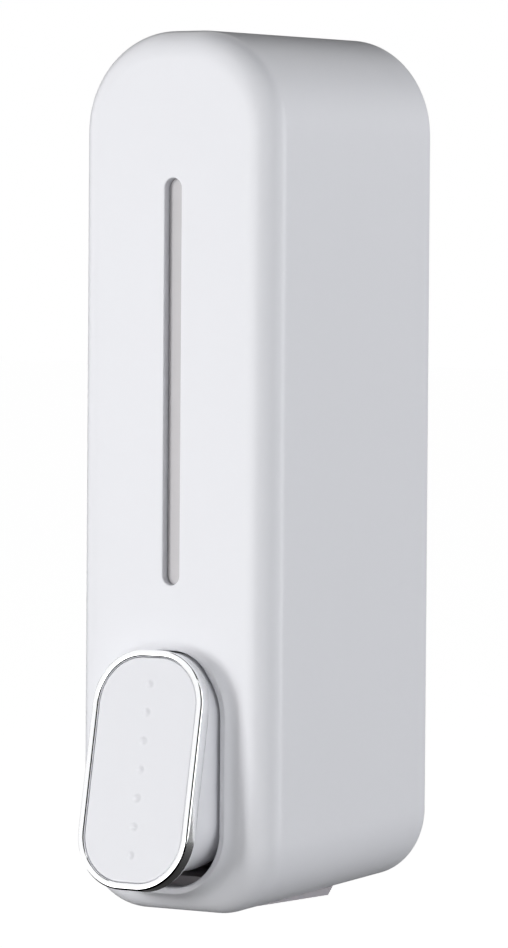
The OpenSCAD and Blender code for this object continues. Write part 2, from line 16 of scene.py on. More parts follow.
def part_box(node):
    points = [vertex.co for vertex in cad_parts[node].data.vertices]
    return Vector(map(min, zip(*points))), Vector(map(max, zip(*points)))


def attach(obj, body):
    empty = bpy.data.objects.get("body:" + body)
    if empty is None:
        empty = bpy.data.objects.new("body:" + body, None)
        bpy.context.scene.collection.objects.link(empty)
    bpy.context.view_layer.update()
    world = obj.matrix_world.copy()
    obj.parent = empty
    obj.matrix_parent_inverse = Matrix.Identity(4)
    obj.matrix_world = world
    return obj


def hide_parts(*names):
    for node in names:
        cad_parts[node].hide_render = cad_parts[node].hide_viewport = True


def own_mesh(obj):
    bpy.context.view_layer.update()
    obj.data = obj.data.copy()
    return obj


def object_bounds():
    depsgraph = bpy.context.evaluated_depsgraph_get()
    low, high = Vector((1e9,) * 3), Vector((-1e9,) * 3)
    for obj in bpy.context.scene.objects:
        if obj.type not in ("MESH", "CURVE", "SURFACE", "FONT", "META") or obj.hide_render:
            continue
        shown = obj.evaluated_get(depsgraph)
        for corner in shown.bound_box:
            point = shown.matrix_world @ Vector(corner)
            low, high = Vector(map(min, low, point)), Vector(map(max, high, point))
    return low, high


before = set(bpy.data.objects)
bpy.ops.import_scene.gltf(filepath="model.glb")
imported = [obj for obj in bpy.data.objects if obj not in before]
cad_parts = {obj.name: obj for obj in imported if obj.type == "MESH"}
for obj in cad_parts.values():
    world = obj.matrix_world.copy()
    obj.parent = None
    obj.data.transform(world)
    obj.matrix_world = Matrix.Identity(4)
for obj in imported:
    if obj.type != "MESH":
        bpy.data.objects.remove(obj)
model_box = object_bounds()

# %% [markdown]
# ## Working units
# Blender measures in metres, but a dispenser is easier to think about in millimetres. So each
# shape is drawn in millimetres and shrunk once, when it becomes an object.

# %% Units and where things are
MM = 0.001


def box_mm(part):
    """Lowest and highest corner of a part of the engineering model, in millimetres."""
    low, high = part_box(part)
    return low / MM, high / MM


cover_low, cover_high = box_mm("cover")
COVER_HALF = cover_high.x
COVER_TOP = cover_high.z
COVER_BOTTOM = cover_low.z
COVER_REAR = cover_high.y
COLLAR_H = 3.0
COVER_FRONT = cover_low.y + COLLAR_H
COVER_WALL = 2.4
print("cover from", *(round(v, 1) for v in cover_low), "to", *(round(v, 1) for v in cover_high))

# %% [markdown]
# Blender keeps a thing's data, such as a mesh, a lamp or a lens, apart from the object that
# places it. An object shows up only once it is linked to the scene.

# %% Helpers for objects
def linked(name, data):
    """Makes an object that carries this data, and puts it in the scene."""
    thing = bpy.data.objects.new(name, data)
    bpy.context.scene.collection.objects.link(thing)
    return thing


def mesh_object(name, bm, finish):
    """Turns a shape into an object with one finish."""
    mesh = bpy.data.meshes.new(name)
    bm.to_mesh(mesh)
    bm.free()
    mesh.materials.append(finish)
    return linked(name, mesh)


def turn_shape(bm, angle, axis):
    """Turns a shape round an axis through the origin."""
    turn = Matrix.Rotation(angle, 3, axis)
    bmesh.ops.rotate(bm, cent=(0, 0, 0), matrix=turn, verts=bm.verts)


def move_shape(bm, step):
    """Moves a shape by a step."""
    bmesh.ops.translate(bm, vec=step, verts=bm.verts)


def flat_square(side):
    """A level square round the origin."""
    bm = bmesh.new()
    bmesh.ops.create_grid(bm, x_segments=1, y_segments=1, size=side / 2)
    return bm


print("helpers ready")

# %% [markdown]
# ## Camera
# The camera stands a little above and to the right of the front, well back, with a long lens, so
# the upright edges stay almost parallel. It is aimed with three directions of its own: back
# towards the viewer, right and up. A very small roll levels the picture.

# %% Camera
CAMERA_TURN = math.radians(34.12)
CAMERA_RISE = math.radians(2.04)
CAMERA_ROLL = math.radians(0.40)
CAMERA_DISTANCE = 1.35683
CAMERA_AIM = Vector((0, -0.037, 0))
AIM_SHIFT = (0.00007, -0.00131)
LENS_FOCUS = 5585.44
SENSOR = 36.0
PICTURE_HEIGHT = 948
NEAREST, FARTHEST = 0.05, 50


def add_camera():
    """Places the camera and makes it the scene's camera."""
    back = Vector((
        math.sin(CAMERA_TURN) * math.cos(CAMERA_RISE),
        -math.cos(CAMERA_TURN) * math.cos(CAMERA_RISE),
        math.sin(CAMERA_RISE),
    ))
    right = Vector((0, 0, 1)).cross(back).normalized()
    up = back.cross(right)
    rolled_right = right * math.cos(CAMERA_ROLL) + up * math.sin(CAMERA_ROLL)
    rolled_up = up * math.cos(CAMERA_ROLL) - right * math.sin(CAMERA_ROLL)
    data = bpy.data.cameras.new("camera")
    data.sensor_width = SENSOR
    data.lens = LENS_FOCUS * SENSOR / PICTURE_HEIGHT
    data.clip_start, data.clip_end = NEAREST, FARTHEST
    camera = linked("camera", data)
    aim = CAMERA_AIM + rolled_right * AIM_SHIFT[0] + rolled_up * AIM_SHIFT[1]
    camera.matrix_world = (
        Matrix.Translation(aim + back * CAMERA_DISTANCE)
        @ Matrix((rolled_right, rolled_up, back)).transposed().to_4x4()
    )
    bpy.context.scene.camera = camera
    return camera


camera = add_camera()
print("camera at", tuple(round(v, 3) for v in camera.location), "lens", round(camera.data.lens, 1))

# %% [markdown]
# ## A small language for finishes
# A finish is a network of nodes. Written out one by one, the nodes hide the idea behind them, so
# two small classes let us write sums instead. The first, `Value`, wraps what comes out of a
# node, and `1 - mask * 0.5` then adds the Math nodes for us.

# %% Sums of values
class Value:
    """What comes out of a node. Sums and products of it add Math nodes to the finish."""

    def __init__(self, finish, socket):
        self.finish = finish
        self.socket = socket

    def maths(self, operation, first, second):
        return self.finish.node("ShaderNodeMath", {"operation": operation}, {0: first, 1: second})

    def __add__(self, other):
        return self.maths("ADD", self, other)

    def __sub__(self, other):
        return self.maths("SUBTRACT", self, other)

    def __rsub__(self, other):
        return self.maths("SUBTRACT", other, self)

    def __mul__(self, other):
        return self.maths("MULTIPLY", self, other)

    __radd__ = __add__
    __rmul__ = __mul__


print("a number can come first, by", ", ".join(key for key in vars(Value) if "__r" in key))

# %% [markdown]
# The second class holds all the nodes of one material or of the world. Every kind of node but
# Math is made by `Finish.node`, which sets the node's settings first and then its sockets, since
# a setting can change which sockets there are.

# %% The nodes of a finish
class Finish:
    """The nodes of one material, or of the world."""

    def __init__(self, owner):
        self.owner = owner
        owner.use_nodes = True
        self.tree = owner.node_tree
        self.tree.nodes.clear()

    @classmethod
    def named(cls, name):
        """Starts a new material with this name."""
        return cls(bpy.data.materials.new(name))

    def node(self, kind, settings=None, sockets=None, out=0):
        """Adds a node of this kind and returns one of its outputs."""
        made = self.tree.nodes.new(kind)
        for key, value in (settings or {}).items():
            if key == "stops":
                self.set_stops(made.color_ramp, value)
            else:
                setattr(made, key, value)
        for key, value in (sockets or {}).items():
            if isinstance(value, Value):
                self.tree.links.new(value.socket, made.inputs[key])
            else:
                made.inputs[key].default_value = value
        return Value(self, made.outputs[out]) if made.outputs else made

    @staticmethod
    def set_stops(ramp, stops):
        """Gives a ramp its stops, each a place and a grey level."""
        while len(ramp.elements) < len(stops):
            ramp.elements.new(1)
        for element, (place, level) in zip(ramp.elements, stops):
            element.position = place
            element.color = (level, level, level, 1)

    def place(self):
        """Where a point of the surface is, in metres, in the piece's own frame."""
        return self.node("ShaderNodeTexCoord", out="Object")

    def noise(self, scale, detail=2.0, where=None):
        """Soft random patches, 0 to 1, with about scale of them to the metre."""
        return self.node("ShaderNodeTexNoise", {}, {
            "Vector": where or self.place(), "Scale": scale, "Detail": detail,
        })

    def ramp(self, value, stops):
        """Bends a value through stops, each a place and a level."""
        return self.node("ShaderNodeValToRGB", {"stops": stops}, {"Fac": value})

    def mix(self, share, first, second):
        """A colour between two colours."""
        sockets = {0: share, 6: first, 7: second}
        return self.node("ShaderNodeMix", {"data_type": "RGBA"}, sockets, out=2)

    def bump(self, height, depth):
        """A direction for the surface that shows height as relief of this depth, in metres."""
        sockets = {"Height": height, "Distance": depth, "Strength": 1.0}
        return self.node("ShaderNodeBump", {}, sockets)

    def surface(self, **sockets):
        """Ends the finish with one surface that has these sockets, and returns the material."""
        named = {key.replace("_", " "): value for key, value in sockets.items()}
        shader = self.node("ShaderNodeBsdfPrincipled", {}, named)
        self.node("ShaderNodeOutputMaterial", {}, {"Surface": shader})
        return self.owner


print("finishes can use", ", ".join(key for key in vars(Finish) if not key.startswith("_")))

# %% [markdown]
# ## Floor and light
# A product like this is shown against plain white. The floor lies below the dispenser and runs
# far behind it. It glows for the viewer's rays only, so that it looks white where the lamps reach
# it and a little darker in the dispenser's shadow.

# %% Floor
FLOOR_Z = model_box[0].z - 0.16
FLOOR_SIZE = 30.0
FLOOR_GLOW = 0.95
FLOOR_COLOUR = (0.45, 0.45, 0.45, 1)


def seen_directly(finish):
    """1 for rays of the viewer, of a reflection or through glass, and 0 for light."""
    seen = finish.node("ShaderNodeLightPath", out="Is Camera Ray")
    for output in ("Is Glossy Ray", "Is Transmission Ray"):
        ray = finish.node("ShaderNodeLightPath", out=output)
        seen = finish.node("ShaderNodeMath", {"operation": "MAXIMUM"}, {0: seen, 1: ray})
    return seen


def floor_finish(glow, colour):
    """Matt paint that also glows a little for the viewer's rays."""
    finish = Finish.named("floor")
    white = finish.node("ShaderNodeEmission", {}, {
        "Color": (1, 1, 1, 1), "Strength": seen_directly(finish) * glow,
    })
    matt = finish.node("ShaderNodeBsdfDiffuse", {}, {"Color": colour})
    both = finish.node("ShaderNodeAddShader", {}, {0: white, 1: matt})
    finish.node("ShaderNodeOutputMaterial", {}, {"Surface": both})
    return finish.owner


def add_floor():
    """A wide floor under the dispenser."""
    bm = flat_square(FLOOR_SIZE)
    move_shape(bm, (0, 0, FLOOR_Z))
    floor = mesh_object("floor", bm, floor_finish(FLOOR_GLOW, FLOOR_COLOUR))


add_floor()
print("floor at", round(FLOOR_Z, 3))

# %% [markdown]
# The world is white to the viewer and to shiny parts too. As light it is pale from below and
# nearly dark from above, because the lamps do the work there.

# %% World
WORLD_LEVELS = [(0.0, 0.80), (0.45, 0.80), (0.62, 0.30), (0.8, 0.06), (1.0, 0.02)]


def light_world(levels):
    """A world that is white where it is seen. As light it has a level for each height."""
    world = bpy.data.worlds.new("studio")
    bpy.context.scene.world = world
    sky = Finish(world)
    direction = sky.node("ShaderNodeTexCoord", out="Generated")
    height = sky.node("ShaderNodeSeparateXYZ", {}, {"Vector": direction}, out="Z")
    level = sky.ramp(height * 0.5 + 0.5, levels)
    seen = seen_directly(sky)
    glow = sky.node("ShaderNodeBackground", {}, {
        "Color": (1, 1, 1, 1), "Strength": seen + level * (1 - seen),
    })
    sky.node("ShaderNodeOutputWorld", {}, {"Surface": glow})


light_world(WORLD_LEVELS)
bpy.context.scene.view_settings.view_transform = "Standard"
print("the world's light goes from", WORLD_LEVELS[0][1], "below to", WORLD_LEVELS[-1][1], "above")

# %% [markdown]
# The size of a lamp decides how soft its shadow is. The key lamp is narrow, so the button throws
# a clear shadow on the cover beside it. A wide weak lamp low in front fills that shadow and
# leaves the top edge darker, and a wide one on the right lights the side. Shiny parts don't
# mirror the key and side lamps, because a hot spot would hide the shape. The strip lamp draws a
# light line down the long round edge instead.

# %% Lamps
def add_lamp(name, place, aim, width, height, power):
    """A soft box: a rectangle of light that faces its aim."""
    data = bpy.data.lights.new(name, "AREA")
    data.shape = "RECTANGLE"
    data.size, data.size_y = width, height
    data.energy = power
    lamp = linked(name, data)
    lamp.location = place
    lamp.rotation_euler = (Vector(aim) - Vector(place)).to_track_quat("-Z", "Y").to_euler()
    return lamp


OBJECT_MIDDLE = (0, -0.04, 0)


def around(turn, distance, height=0.0):
    """A place round the dispenser. The turn is in degrees, from the front towards the right."""
    angle = math.radians(turn)
    return math.sin(angle) * distance, -math.cos(angle) * distance, height


key_lamp = add_lamp("key_lamp", around(-25, 1.3, 0.20), OBJECT_MIDDLE, 0.25, 0.9, 9.4)
key_lamp.visible_glossy = False
add_lamp("front_lamp", around(-5, 1.3, -0.2), OBJECT_MIDDLE, 1.6, 0.8, 6.8)
side_lamp = add_lamp("side_lamp", around(96, 1.4, -0.05), OBJECT_MIDDLE, 1.2, 1.1, 12.2)
side_lamp.data.color = (0.955, 0.97, 1.0)
side_lamp.visible_glossy = False
add_lamp("strip_lamp", around(124, 1.3, 0), OBJECT_MIDDLE, 0.25, 1.2, 3.5)
print("lamps ready")

# %% [markdown]
# White on white needs dark edges. A photographer stands cards just outside the picture, so that
# the rims of a pale, glossy thing mirror something darker than the room. Each card here is an
# even grey, or goes from one grey to another towards the back. Only reflections see the cards:
# they throw no shadow and the camera looks through them.

# %% Dark cards
def card_finish(near, far):
    """A card whose grey level goes from near, below the dispenser, to far, a metre behind it."""
    finish = Finish.named("card")
    behind = finish.node("ShaderNodeSeparateXYZ", {}, {"Vector": finish.place()}, out="Y")
    even = finish.node("ShaderNodeEmission", {}, {
        "Color": (1, 1, 1, 1), "Strength": behind * (far - near) + near,
    })
    finish.node("ShaderNodeOutputMaterial", {}, {"Surface": even})
    return finish.owner


def add_card(name, bm, near, far):
    """Makes a card that only reflections see."""
    card = mesh_object(name, bm, card_finish(near, far))
    card.visible_camera = card.visible_diffuse = card.visible_shadow = False
    card.visible_transmission = card.visible_volume_scatter = False


def upright_card(name, turns, distance, low, high, level):
    """A card that stands between two turns round the dispenser, from a low to a high edge."""
    first, last = (Vector(around(turn, distance)) for turn in turns)
    middle = (first + last) / 2
    bm = flat_square(1)
    bmesh.ops.scale(bm, vec=((last - first).length, high - low, 1), verts=bm.verts)
    turn_shape(bm, math.pi / 2, "X")
    turn_shape(bm, math.atan2(last.y - first.y, last.x - first.x), "Z")
    move_shape(bm, (middle.x, middle.y, (low + high) / 2))
    add_card(name, bm, level, level)


def level_card(name, middle, size, near, far):
    """A card that lies flat."""
    bm = flat_square(size)
    move_shape(bm, middle)
    add_card(name, bm, near, far)


upright_card("card_back_low", (138, 222), 0.9, -0.30, 0.12, 0.30)
upright_card("card_back_high", (165, 224), 0.9, 0.12, 0.60, 0.02)
upright_card("card_right", (12, 84), 1.1, -0.30, 0.80, 0.02)
upright_card("card_right_high", (12, 120), 1.1, 0.80, 1.60, 0.02)
upright_card("card_left", (-100, -140), 1.1, -0.30, 0.80, 0.10)
level_card("card_below", (0.35, 0.35, -0.25), 1.6, 0.015, 0.30)
level_card("card_above", (0.1, 0.0, 0.75), 0.9, 0.02, 0.02)
print("cards ready")

# %% [markdown]
# ## Finishes
# Every finish has a slow change over the whole piece and a fine grain, because nothing moulded
# or polished is perfectly even. On glossy plastic the change must stay very weak: you see it
# only as a slight liveliness in the reflections.

# %% White and grey plastics
def shade(colour, times, plus=0.0):
    """The colour made darker or paler."""
    return tuple(min(1.0, part * times + plus) for part in colour[:3]) + (1,)


def moulded_plastic(name, colour, roughness, relief=0.000006):
    """Injection moulded plastic: almost even, with a faint orange peel and slow gloss changes."""
    finish = Finish.named(name)
    slow = finish.noise(18.0, detail=3.0)
    fine = finish.noise(420.0, detail=2.0)
    dusty = finish.ramp(finish.noise(95.0, detail=6.0), [(0.40, 0.0), (0.90, 1.0)])
    return finish.surface(
        Base_Color=finish.mix(slow * 0.4 + dusty * 0.1, colour, shade(colour, 0.975)),
        Roughness=slow * 0.04 + (roughness - 0.02), Normal=finish.bump(fine, relief), IOR=1.5,
    )


WHITE_PLASTIC = moulded_plastic("white_plastic", (0.845, 0.850, 0.885, 1), 0.31)
# The inner plastic is its own grey made darker and tinted plum as painted shade, so the carrier
# under the cover and the cavity behind the button look shadowed.
INNER_PLASTIC_PAINTED_SHADE = moulded_plastic("inner_plastic", (0.395, 0.375, 0.40, 1), 0.45, relief=0.00002)
PUMP_PLASTIC = moulded_plastic("pump_plastic", (0.80, 0.80, 0.79, 1), 0.38, relief=0.00001)
CAP_PLASTIC = moulded_plastic("cap_plastic", (0.80, 0.81, 0.84, 1), 0.36, relief=0.00002)
print("plastics ready")

# %% [markdown]
# Metal takes its look from what it mirrors, so its colour is nearly white and its roughness is
# low. The plated rim has faint polishing marks; turned and rolled steel has rougher ones.

# %% Metals
def bare_metal(name, colour, roughness, marks, relief):
    """Polished or drawn metal with fine marks that cross it and a few dull spots."""
    finish = Finish.named(name)
    sockets = {"Vector": finish.place(), "Scale": (1, 6, 0.35)}
    stretch = finish.node("ShaderNodeMapping", {}, sockets)
    lines = finish.noise(marks, detail=4.0, where=stretch)
    spots = finish.ramp(finish.noise(240.0, detail=5.0), [(0.60, 0.0), (0.80, 1.0)])
    return finish.surface(
        Base_Color=finish.mix(spots * 0.35, colour, shade(colour, 0.86)), Metallic=1.0,
        Roughness=lines * (roughness * 0.5) + spots * 0.08 + roughness * 0.7,
        Normal=finish.bump(lines, relief),
    )


BRIGHT_RIM = bare_metal("bright_rim", (0.975, 0.98, 0.99, 1), 0.07, 900.0, 0.000001)
STEEL = bare_metal("steel", (0.62, 0.62, 0.63, 1), 0.42, 2200.0, 0.000004)
print("metals ready")

# %% [markdown]
# Rubber is matt and nearly black, and silicone is a milky grey. The window is smoked clear
# plastic, and the bottle is the cloudy white of polyethylene, so both let some light through.

# %% Soft and see-through plastics
def soft_rubber(name, colour, roughness):
    """Matt rubber with a fine pebbled skin and a paler bloom in patches."""
    finish = Finish.named(name)
    bloom = finish.ramp(finish.noise(130.0, detail=5.0), [(0.45, 0.0), (0.75, 1.0)])
    pebbles = finish.noise(2600.0, detail=2.0)
    return finish.surface(
        Base_Color=finish.mix(bloom * 0.5, colour, shade(colour, 1.35, 0.01)),
        Roughness=bloom * 0.1 + roughness, Normal=finish.bump(pebbles, 0.00002),
    )


def cloudy_plastic(name, colour, roughness, through):
    """Plastic that light partly passes, with slow cloudy changes."""
    finish = Finish.named(name)
    clouds = finish.noise(70.0, detail=4.0)
    fine = finish.noise(700.0, detail=2.0)
    return finish.surface(
        Base_Color=finish.mix(clouds * 0.6, colour, shade(colour, 0.88)),
        Roughness=clouds * 0.1 + (roughness - 0.05), Transmission_Weight=through, IOR=1.49,
        Normal=finish.bump(fine, 0.000008),
    )


RUBBER = soft_rubber("rubber", (0.035, 0.035, 0.038, 1), 0.62)
SILICONE = soft_rubber("silicone", (0.62, 0.62, 0.62, 1), 0.48)
WINDOW_PLASTIC = cloudy_plastic("window_plastic", (0.58, 0.565, 0.58, 1), 0.20, 0.08)
BOTTLE_PLASTIC = cloudy_plastic("bottle_plastic", (0.80, 0.81, 0.83, 1), 0.40, 0.35)
print("soft and see-through plastics ready")

# %% [markdown]
# ## Drawing with rings
# Nearly every piece here is a stack of rings. A ring starts as a circle whose points are moved
# onto an outline, and then it is extruded again and again, each time onto the next outline.
# Because every ring of a piece has the same number of points, the faces stay tidy and the
# reflections stay smooth.

# %% Helpers for straight and round runs
def shares(steps, power=1.0):
    """Shares of a run from 0 up to, but without, 1. A power above 1 crowds them at the start."""
    return [(step / steps) ** power for step in range(steps)]


def run(start, end, parts):
    """Points on a straight run at these shares of it."""
    return [(start[0] + (end[0] - start[0]) * t, start[1] + (end[1] - start[1]) * t) for t in parts]


def bend(centre, radius, first, last, parts):
    """Points on an arc from the first to the last angle, in degrees, at these shares of it."""
    points = []
    for t in parts:
        angle = math.radians(first + (last - first) * t)
        points.append((centre[0] + radius * math.cos(angle), centre[1] + radius * math.sin(angle)))
    return points


print("a corner in four steps:",
      [(round(x, 2), round(z, 2)) for x, z in bend((0, 0), 1, 90, 0, shares(4))])

# %% [markdown]
# The dispenser is the same on its left and its right. So an outline is drawn for the right half
# only, from top to bottom, and mirrored.

# %% Helpers for whole outlines
def whole(half):
    """The right half of an outline, from top to bottom, and its mirror image back up."""
    return half + [(-x, z) for x, z in reversed(half[1:-1])]


def corner_outline(half_width, top_r, low_r, high, low, steps):
    """An outline whose corners differ at the top and the bottom. Its sides end at high and low."""
    first, second, third, side, corner, ends = steps
    top, bottom = half_width - top_r, half_width - low_r
    half = run((0, high + top_r), (top, high + top_r), shares(first))
    half += bend((top, high), top_r, 90, 45, shares(second))
    half += bend((top, high), top_r, 45, 0, shares(third))
    half += run((half_width, high), (half_width, low), shares(side))
    half += bend((bottom, low), low_r, 0, -90, shares(corner))
    half += run((bottom, low - low_r), (0, low - low_r), shares(ends))
    return whole(half + [(0, low - low_r)])


def rounded_outline(width, height, radius, side_steps=8, corner_steps=16, end_steps=4):
    """A rectangle with round corners, in x and z round the middle. Corners have even steps."""
    straight = height / 2 - radius
    steps = (end_steps, corner_steps // 2, corner_steps // 2, side_steps, corner_steps, end_steps)
    return corner_outline(width / 2, radius, radius, straight, -straight, steps)


def blend(inner, outer, share):
    """An outline between two others: share 1 is the inner one and 0 the outer one."""
    return [(b[0] + (a[0] - b[0]) * share, b[1] + (a[1] - b[1]) * share)
            for a, b in zip(inner, outer)]


print("outline of a 20 by 30 plate has", len(rounded_outline(20, 30, 5)), "points")

# %% [markdown]
# Extruding an edge makes a second edge and the face between them. The operator returns the new
# points in no fixed order, so each one is found from its old partner and only then moved. The
# edges are collected in a dict, which drops repeats as a set does but keeps their order.

# %% Helpers for rings
def ring(bm, points):
    """A closed ring of edges through points, made as a circle whose points are moved."""
    made = bmesh.ops.create_circle(bm, segments=len(points), radius=1)["verts"]
    for vert, point in zip(made, points):
        vert.co = point
    return made


def extrude_ring(bm, verts, move):
    """Extrudes a ring of points and gives each new one the place that move makes of the old."""
    old = set(verts)
    edges = dict.fromkeys(edge for vert in verts for edge in vert.link_edges
                          if len(edge.link_faces) < 2 and edge.other_vert(vert) in old)
    made = bmesh.ops.extrude_edge_only(bm, edges=list(edges))["geom"]
    new = {item for item in made if isinstance(item, bmesh.types.BMVert)}
    pairs = [next(edge.other_vert(vert) for edge in vert.link_edges if edge.other_vert(vert) in new)
             for vert in verts]
    for index, (before, after) in enumerate(zip(verts, pairs)):
        after.co = move(index, before)
    return pairs


def sheet(bm, rings):
    """Draws the first ring and extrudes it through the others."""
    verts = ring(bm, rings[0])
    for points in rings[1:]:
        verts = extrude_ring(bm, verts, lambda index, before: points[index])


def lifted(outline, height):
    """An outline in x and z becomes points in space, with height giving each point's y."""
    if not callable(height):
        return [(x, height, z) for x, z in outline]
    return [(x, height(x, z), z) for x, z in outline]


trial = bmesh.new()
sheet(trial, [lifted(rounded_outline(20, 30, 5), height) for height in (0, 2, 5)])
print("three rings make", len(trial.faces), "faces")
trial.free()

# %% [markdown]
# A shape is finished in two steps. First its doubles are merged and its holes filled, so that it
# is closed. Then it is shrunk to metres and told which body it moves with.

# %% Helpers for closing shapes and making pieces
SHARP_ANGLE = math.radians(35)


def open_verts(bm, wanted):
    """Points on an open edge of the shape that are wanted."""
    edges = [edge for edge in bm.edges
             if edge.is_boundary and all(wanted(vert.co) for vert in edge.verts)]
    return list(dict.fromkeys(vert for edge in edges for vert in edge.verts))


def close_up(bm, merge=1e-4):
    """Merges doubled points, fills holes that are left and turns every face outwards."""
    bmesh.ops.remove_doubles(bm, verts=bm.verts, dist=merge)
    bmesh.ops.dissolve_degenerate(bm, dist=merge, edges=bm.edges)
    holes = [edge for edge in bm.edges if edge.is_boundary]
    if holes:
        bmesh.ops.holes_fill(bm, edges=holes, sides=0)
    bmesh.ops.recalc_face_normals(bm, faces=bm.faces)


def closed_shape(rings):
    """A closed shape from a stack of rings."""
    bm = bmesh.new()
    sheet(bm, rings)
    close_up(bm)
    return bm


def as_piece(name, bm, finish, body, stands_for=()):
    """Turns a shape in millimetres into a piece in metres that moves with a body."""
    left_open = sum(edge.is_boundary for edge in bm.edges)
    bmesh.ops.scale(bm, vec=(MM, MM, MM), verts=bm.verts)
    piece = mesh_object(name, bm, finish)
    piece.data.shade_smooth()
    piece.data.set_sharp_from_angle(angle=SHARP_ANGLE)
    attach(piece, body)
    if stands_for:
        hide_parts(*stands_for)
    print(name, "faces", len(piece.data.polygons), "open edges", left_open)
    return piece


print("edges count as sharp from", round(math.degrees(SHARP_ANGLE)), "degrees")

# %% [markdown]
# ## The cover
# The cover is one moulding with no seam: a tall rounded shell whose front has a long slot, and a
# button opening inside a raised collar. We could join the collar to the shell as a separate
# shape, but then a crease would show where they meet. Here the front is one sheet instead. Its
# rings run from the slot and from the opening out to the edge of the cover, and a formula says
# how far each point stands forward: a round-over along the outline, a round-over along the slot,
# and the collar's own profile round the opening.

# %% Outline of the cover
TOP_R = 24.0
BOTTOM_R = 17.5


def round_over(inside, radius):
    """How far a round edge falls back at this distance inside the outline."""
    if inside >= radius:
        return 0.0
    return radius - math.sqrt(max(0.0, radius ** 2 - (radius - inside) ** 2))


def corner_beside(z):
    """Radius of the cover's corner at this height, and the height of its middle."""
    if z > COVER_TOP - TOP_R:
        return TOP_R, COVER_TOP - TOP_R
    if z < COVER_BOTTOM + BOTTOM_R:
        return BOTTOM_R, COVER_BOTTOM + BOTTOM_R
    return None


def edge_distance(x, z, inset=0.0):
    """Distance inside the cover's outline, or inside that outline shrunk by inset."""
    x = abs(x)
    radius, middle = corner_beside(z) or (0.0, z)
    if x > COVER_HALF - radius:
        return radius - math.hypot(x - COVER_HALF + radius, z - middle) - inset
    return min(COVER_HALF - x, COVER_TOP - z, z - COVER_BOTTOM) - inset


print("the cover's middle is", round(edge_distance(0, 0), 1), "mm inside its outline")

# %% [markdown]
# The slot is a capsule, and the opening is a rectangle with rounder corners at its top than at
# its bottom. One formula gives the distance from either.

# %% Distances from the slot and the opening
SLOT_HALF = 2.4
SLOT_LOW_END, SLOT_HIGH_END = -24.5, 67.5
OPENING_HALF = 16.4
OPENING_TOP_R, OPENING_LOW_R = 15.4, 13.7
OPENING_LOW_END, OPENING_HIGH_END = -84.9, -57.9


def capsule_distance(x, z, half_flat, low, high, radius):
    """Distance outside an outline with round ends, or round corners if half_flat isn't 0."""
    across = max(0.0, abs(x) - half_flat)
    along = max(0.0, z - high, low - z)
    return math.hypot(across, along) - radius


def slot_distance(x, z):
    """Distance outside the slot."""
    return capsule_distance(x, z, 0.0, SLOT_LOW_END, SLOT_HIGH_END, SLOT_HALF)


def opening_distance(x, z):
    """Distance outside the button opening."""
    r = OPENING_TOP_R if z > OPENING_HIGH_END else OPENING_LOW_R
    return capsule_distance(x, z, OPENING_HALF - r, OPENING_LOW_END, OPENING_HIGH_END, r)


print("between slot and opening there are",
      round(SLOT_LOW_END - SLOT_HALF - OPENING_HIGH_END - OPENING_TOP_R, 1), "mm")

# %% [markdown]
# The collar has a small round lip, a narrow flat crest, and a long hollow slope down to the
# face. It is full round the sides and the bottom of the opening and fades away over its top.

# %% The collar and the shape of the front
EDGE_R = 7.0
SLOT_SOFT = 0.35
LIP_R = 0.6
CREST_END = 1.5
COLLAR_FOOT = 5.4
COLLAR_DROP = 3.2
CREST_SOFT = 0.05
COLLAR_START, COLLAR_FULL = -40.0, -49.0
COLLAR_LEAST = 0.25


def collar_height(distance, z):
    """How far the collar stands in front of the face, at this distance from the opening."""
    if distance >= COLLAR_FOOT:
        return 0.0
    below = min(1.0, max(0.0, (COLLAR_START - z) / (COLLAR_START - COLLAR_FULL)))
    full = COLLAR_LEAST + (COLLAR_H - COLLAR_LEAST) * below * below * (3 - 2 * below)
    if distance <= CREST_END:
        return full - round_over(max(0.0, distance), min(LIP_R, full))
    down = (distance - CREST_END) / (COLLAR_FOOT - CREST_END)
    eased = (math.hypot(down, CREST_SOFT) - CREST_SOFT) / (math.hypot(1, CREST_SOFT) - CREST_SOFT)
    return full * (1 - eased) ** COLLAR_DROP


def cover_front(x, z):
    """Where the front of the cover is, as y, at this x and z."""
    edges = round_over(edge_distance(x, z), EDGE_R)
    edges += round_over(max(0.0, slot_distance(x, z)), SLOT_SOFT)
    return COVER_FRONT + edges - collar_height(opening_distance(x, z), z)


def cover_inside(x, z):
    """Where the inside of the front wall is."""
    inner = max(0.0, edge_distance(x, z, COVER_WALL))
    return COVER_FRONT + COVER_WALL + round_over(inner, EDGE_R - COVER_WALL)


print("front of the cover in its middle:", round(cover_front(10, 20), 2))

# %% [markdown]
# A hole and the outline round it need the same number of points, so that faces run straight
# from one to the other. These counts share the points out between corners and straight runs.

# %% Outlines above the seam line
SEAM_Z = -33.0
SEAM_STEPS = 36
TOP_STEPS = (2, 32, 38)
SLOT_SPLIT = 82


def slot_outline(offset):
    """The slot's outline, grown by offset, with points matched to the cover's upper outline."""
    r = SLOT_HALF + offset
    ends, corner, side = TOP_STEPS
    half = bend((0, SLOT_HIGH_END), r, 90, SLOT_SPLIT, shares(ends))
    half += bend((0, SLOT_HIGH_END), r, SLOT_SPLIT, 0, shares(corner))
    half += run((r, SLOT_HIGH_END), (r, SLOT_LOW_END), shares(side))
    half += bend((0, SLOT_LOW_END), r, 0, -90, shares(SEAM_STEPS))
    return whole(half + [(0, SLOT_LOW_END - r)])


def upper_outline(inset):
    """The cover's outline above the seam line, and along that line."""
    half_width, top = COVER_HALF - inset, COVER_TOP - inset
    middle = (COVER_HALF - TOP_R, COVER_TOP - TOP_R)
    ends, corner, side = TOP_STEPS
    half = run((0, top), (middle[0], top), shares(ends))
    half += bend(middle, TOP_R - inset, 90, 0, shares(corner))
    half += run((half_width, middle[1]), (half_width, SEAM_Z), shares(side))
    half += [(half_width * (1 - t), SEAM_Z) for t in shares(SEAM_STEPS, 2.0)]
    return whole(half + [(0, SEAM_Z)])


print("round the slot:", len(slot_outline(0)), "points, upper outline:", len(upper_outline(0)))

# %% [markdown]
# Below the seam line the opening takes the slot's place.

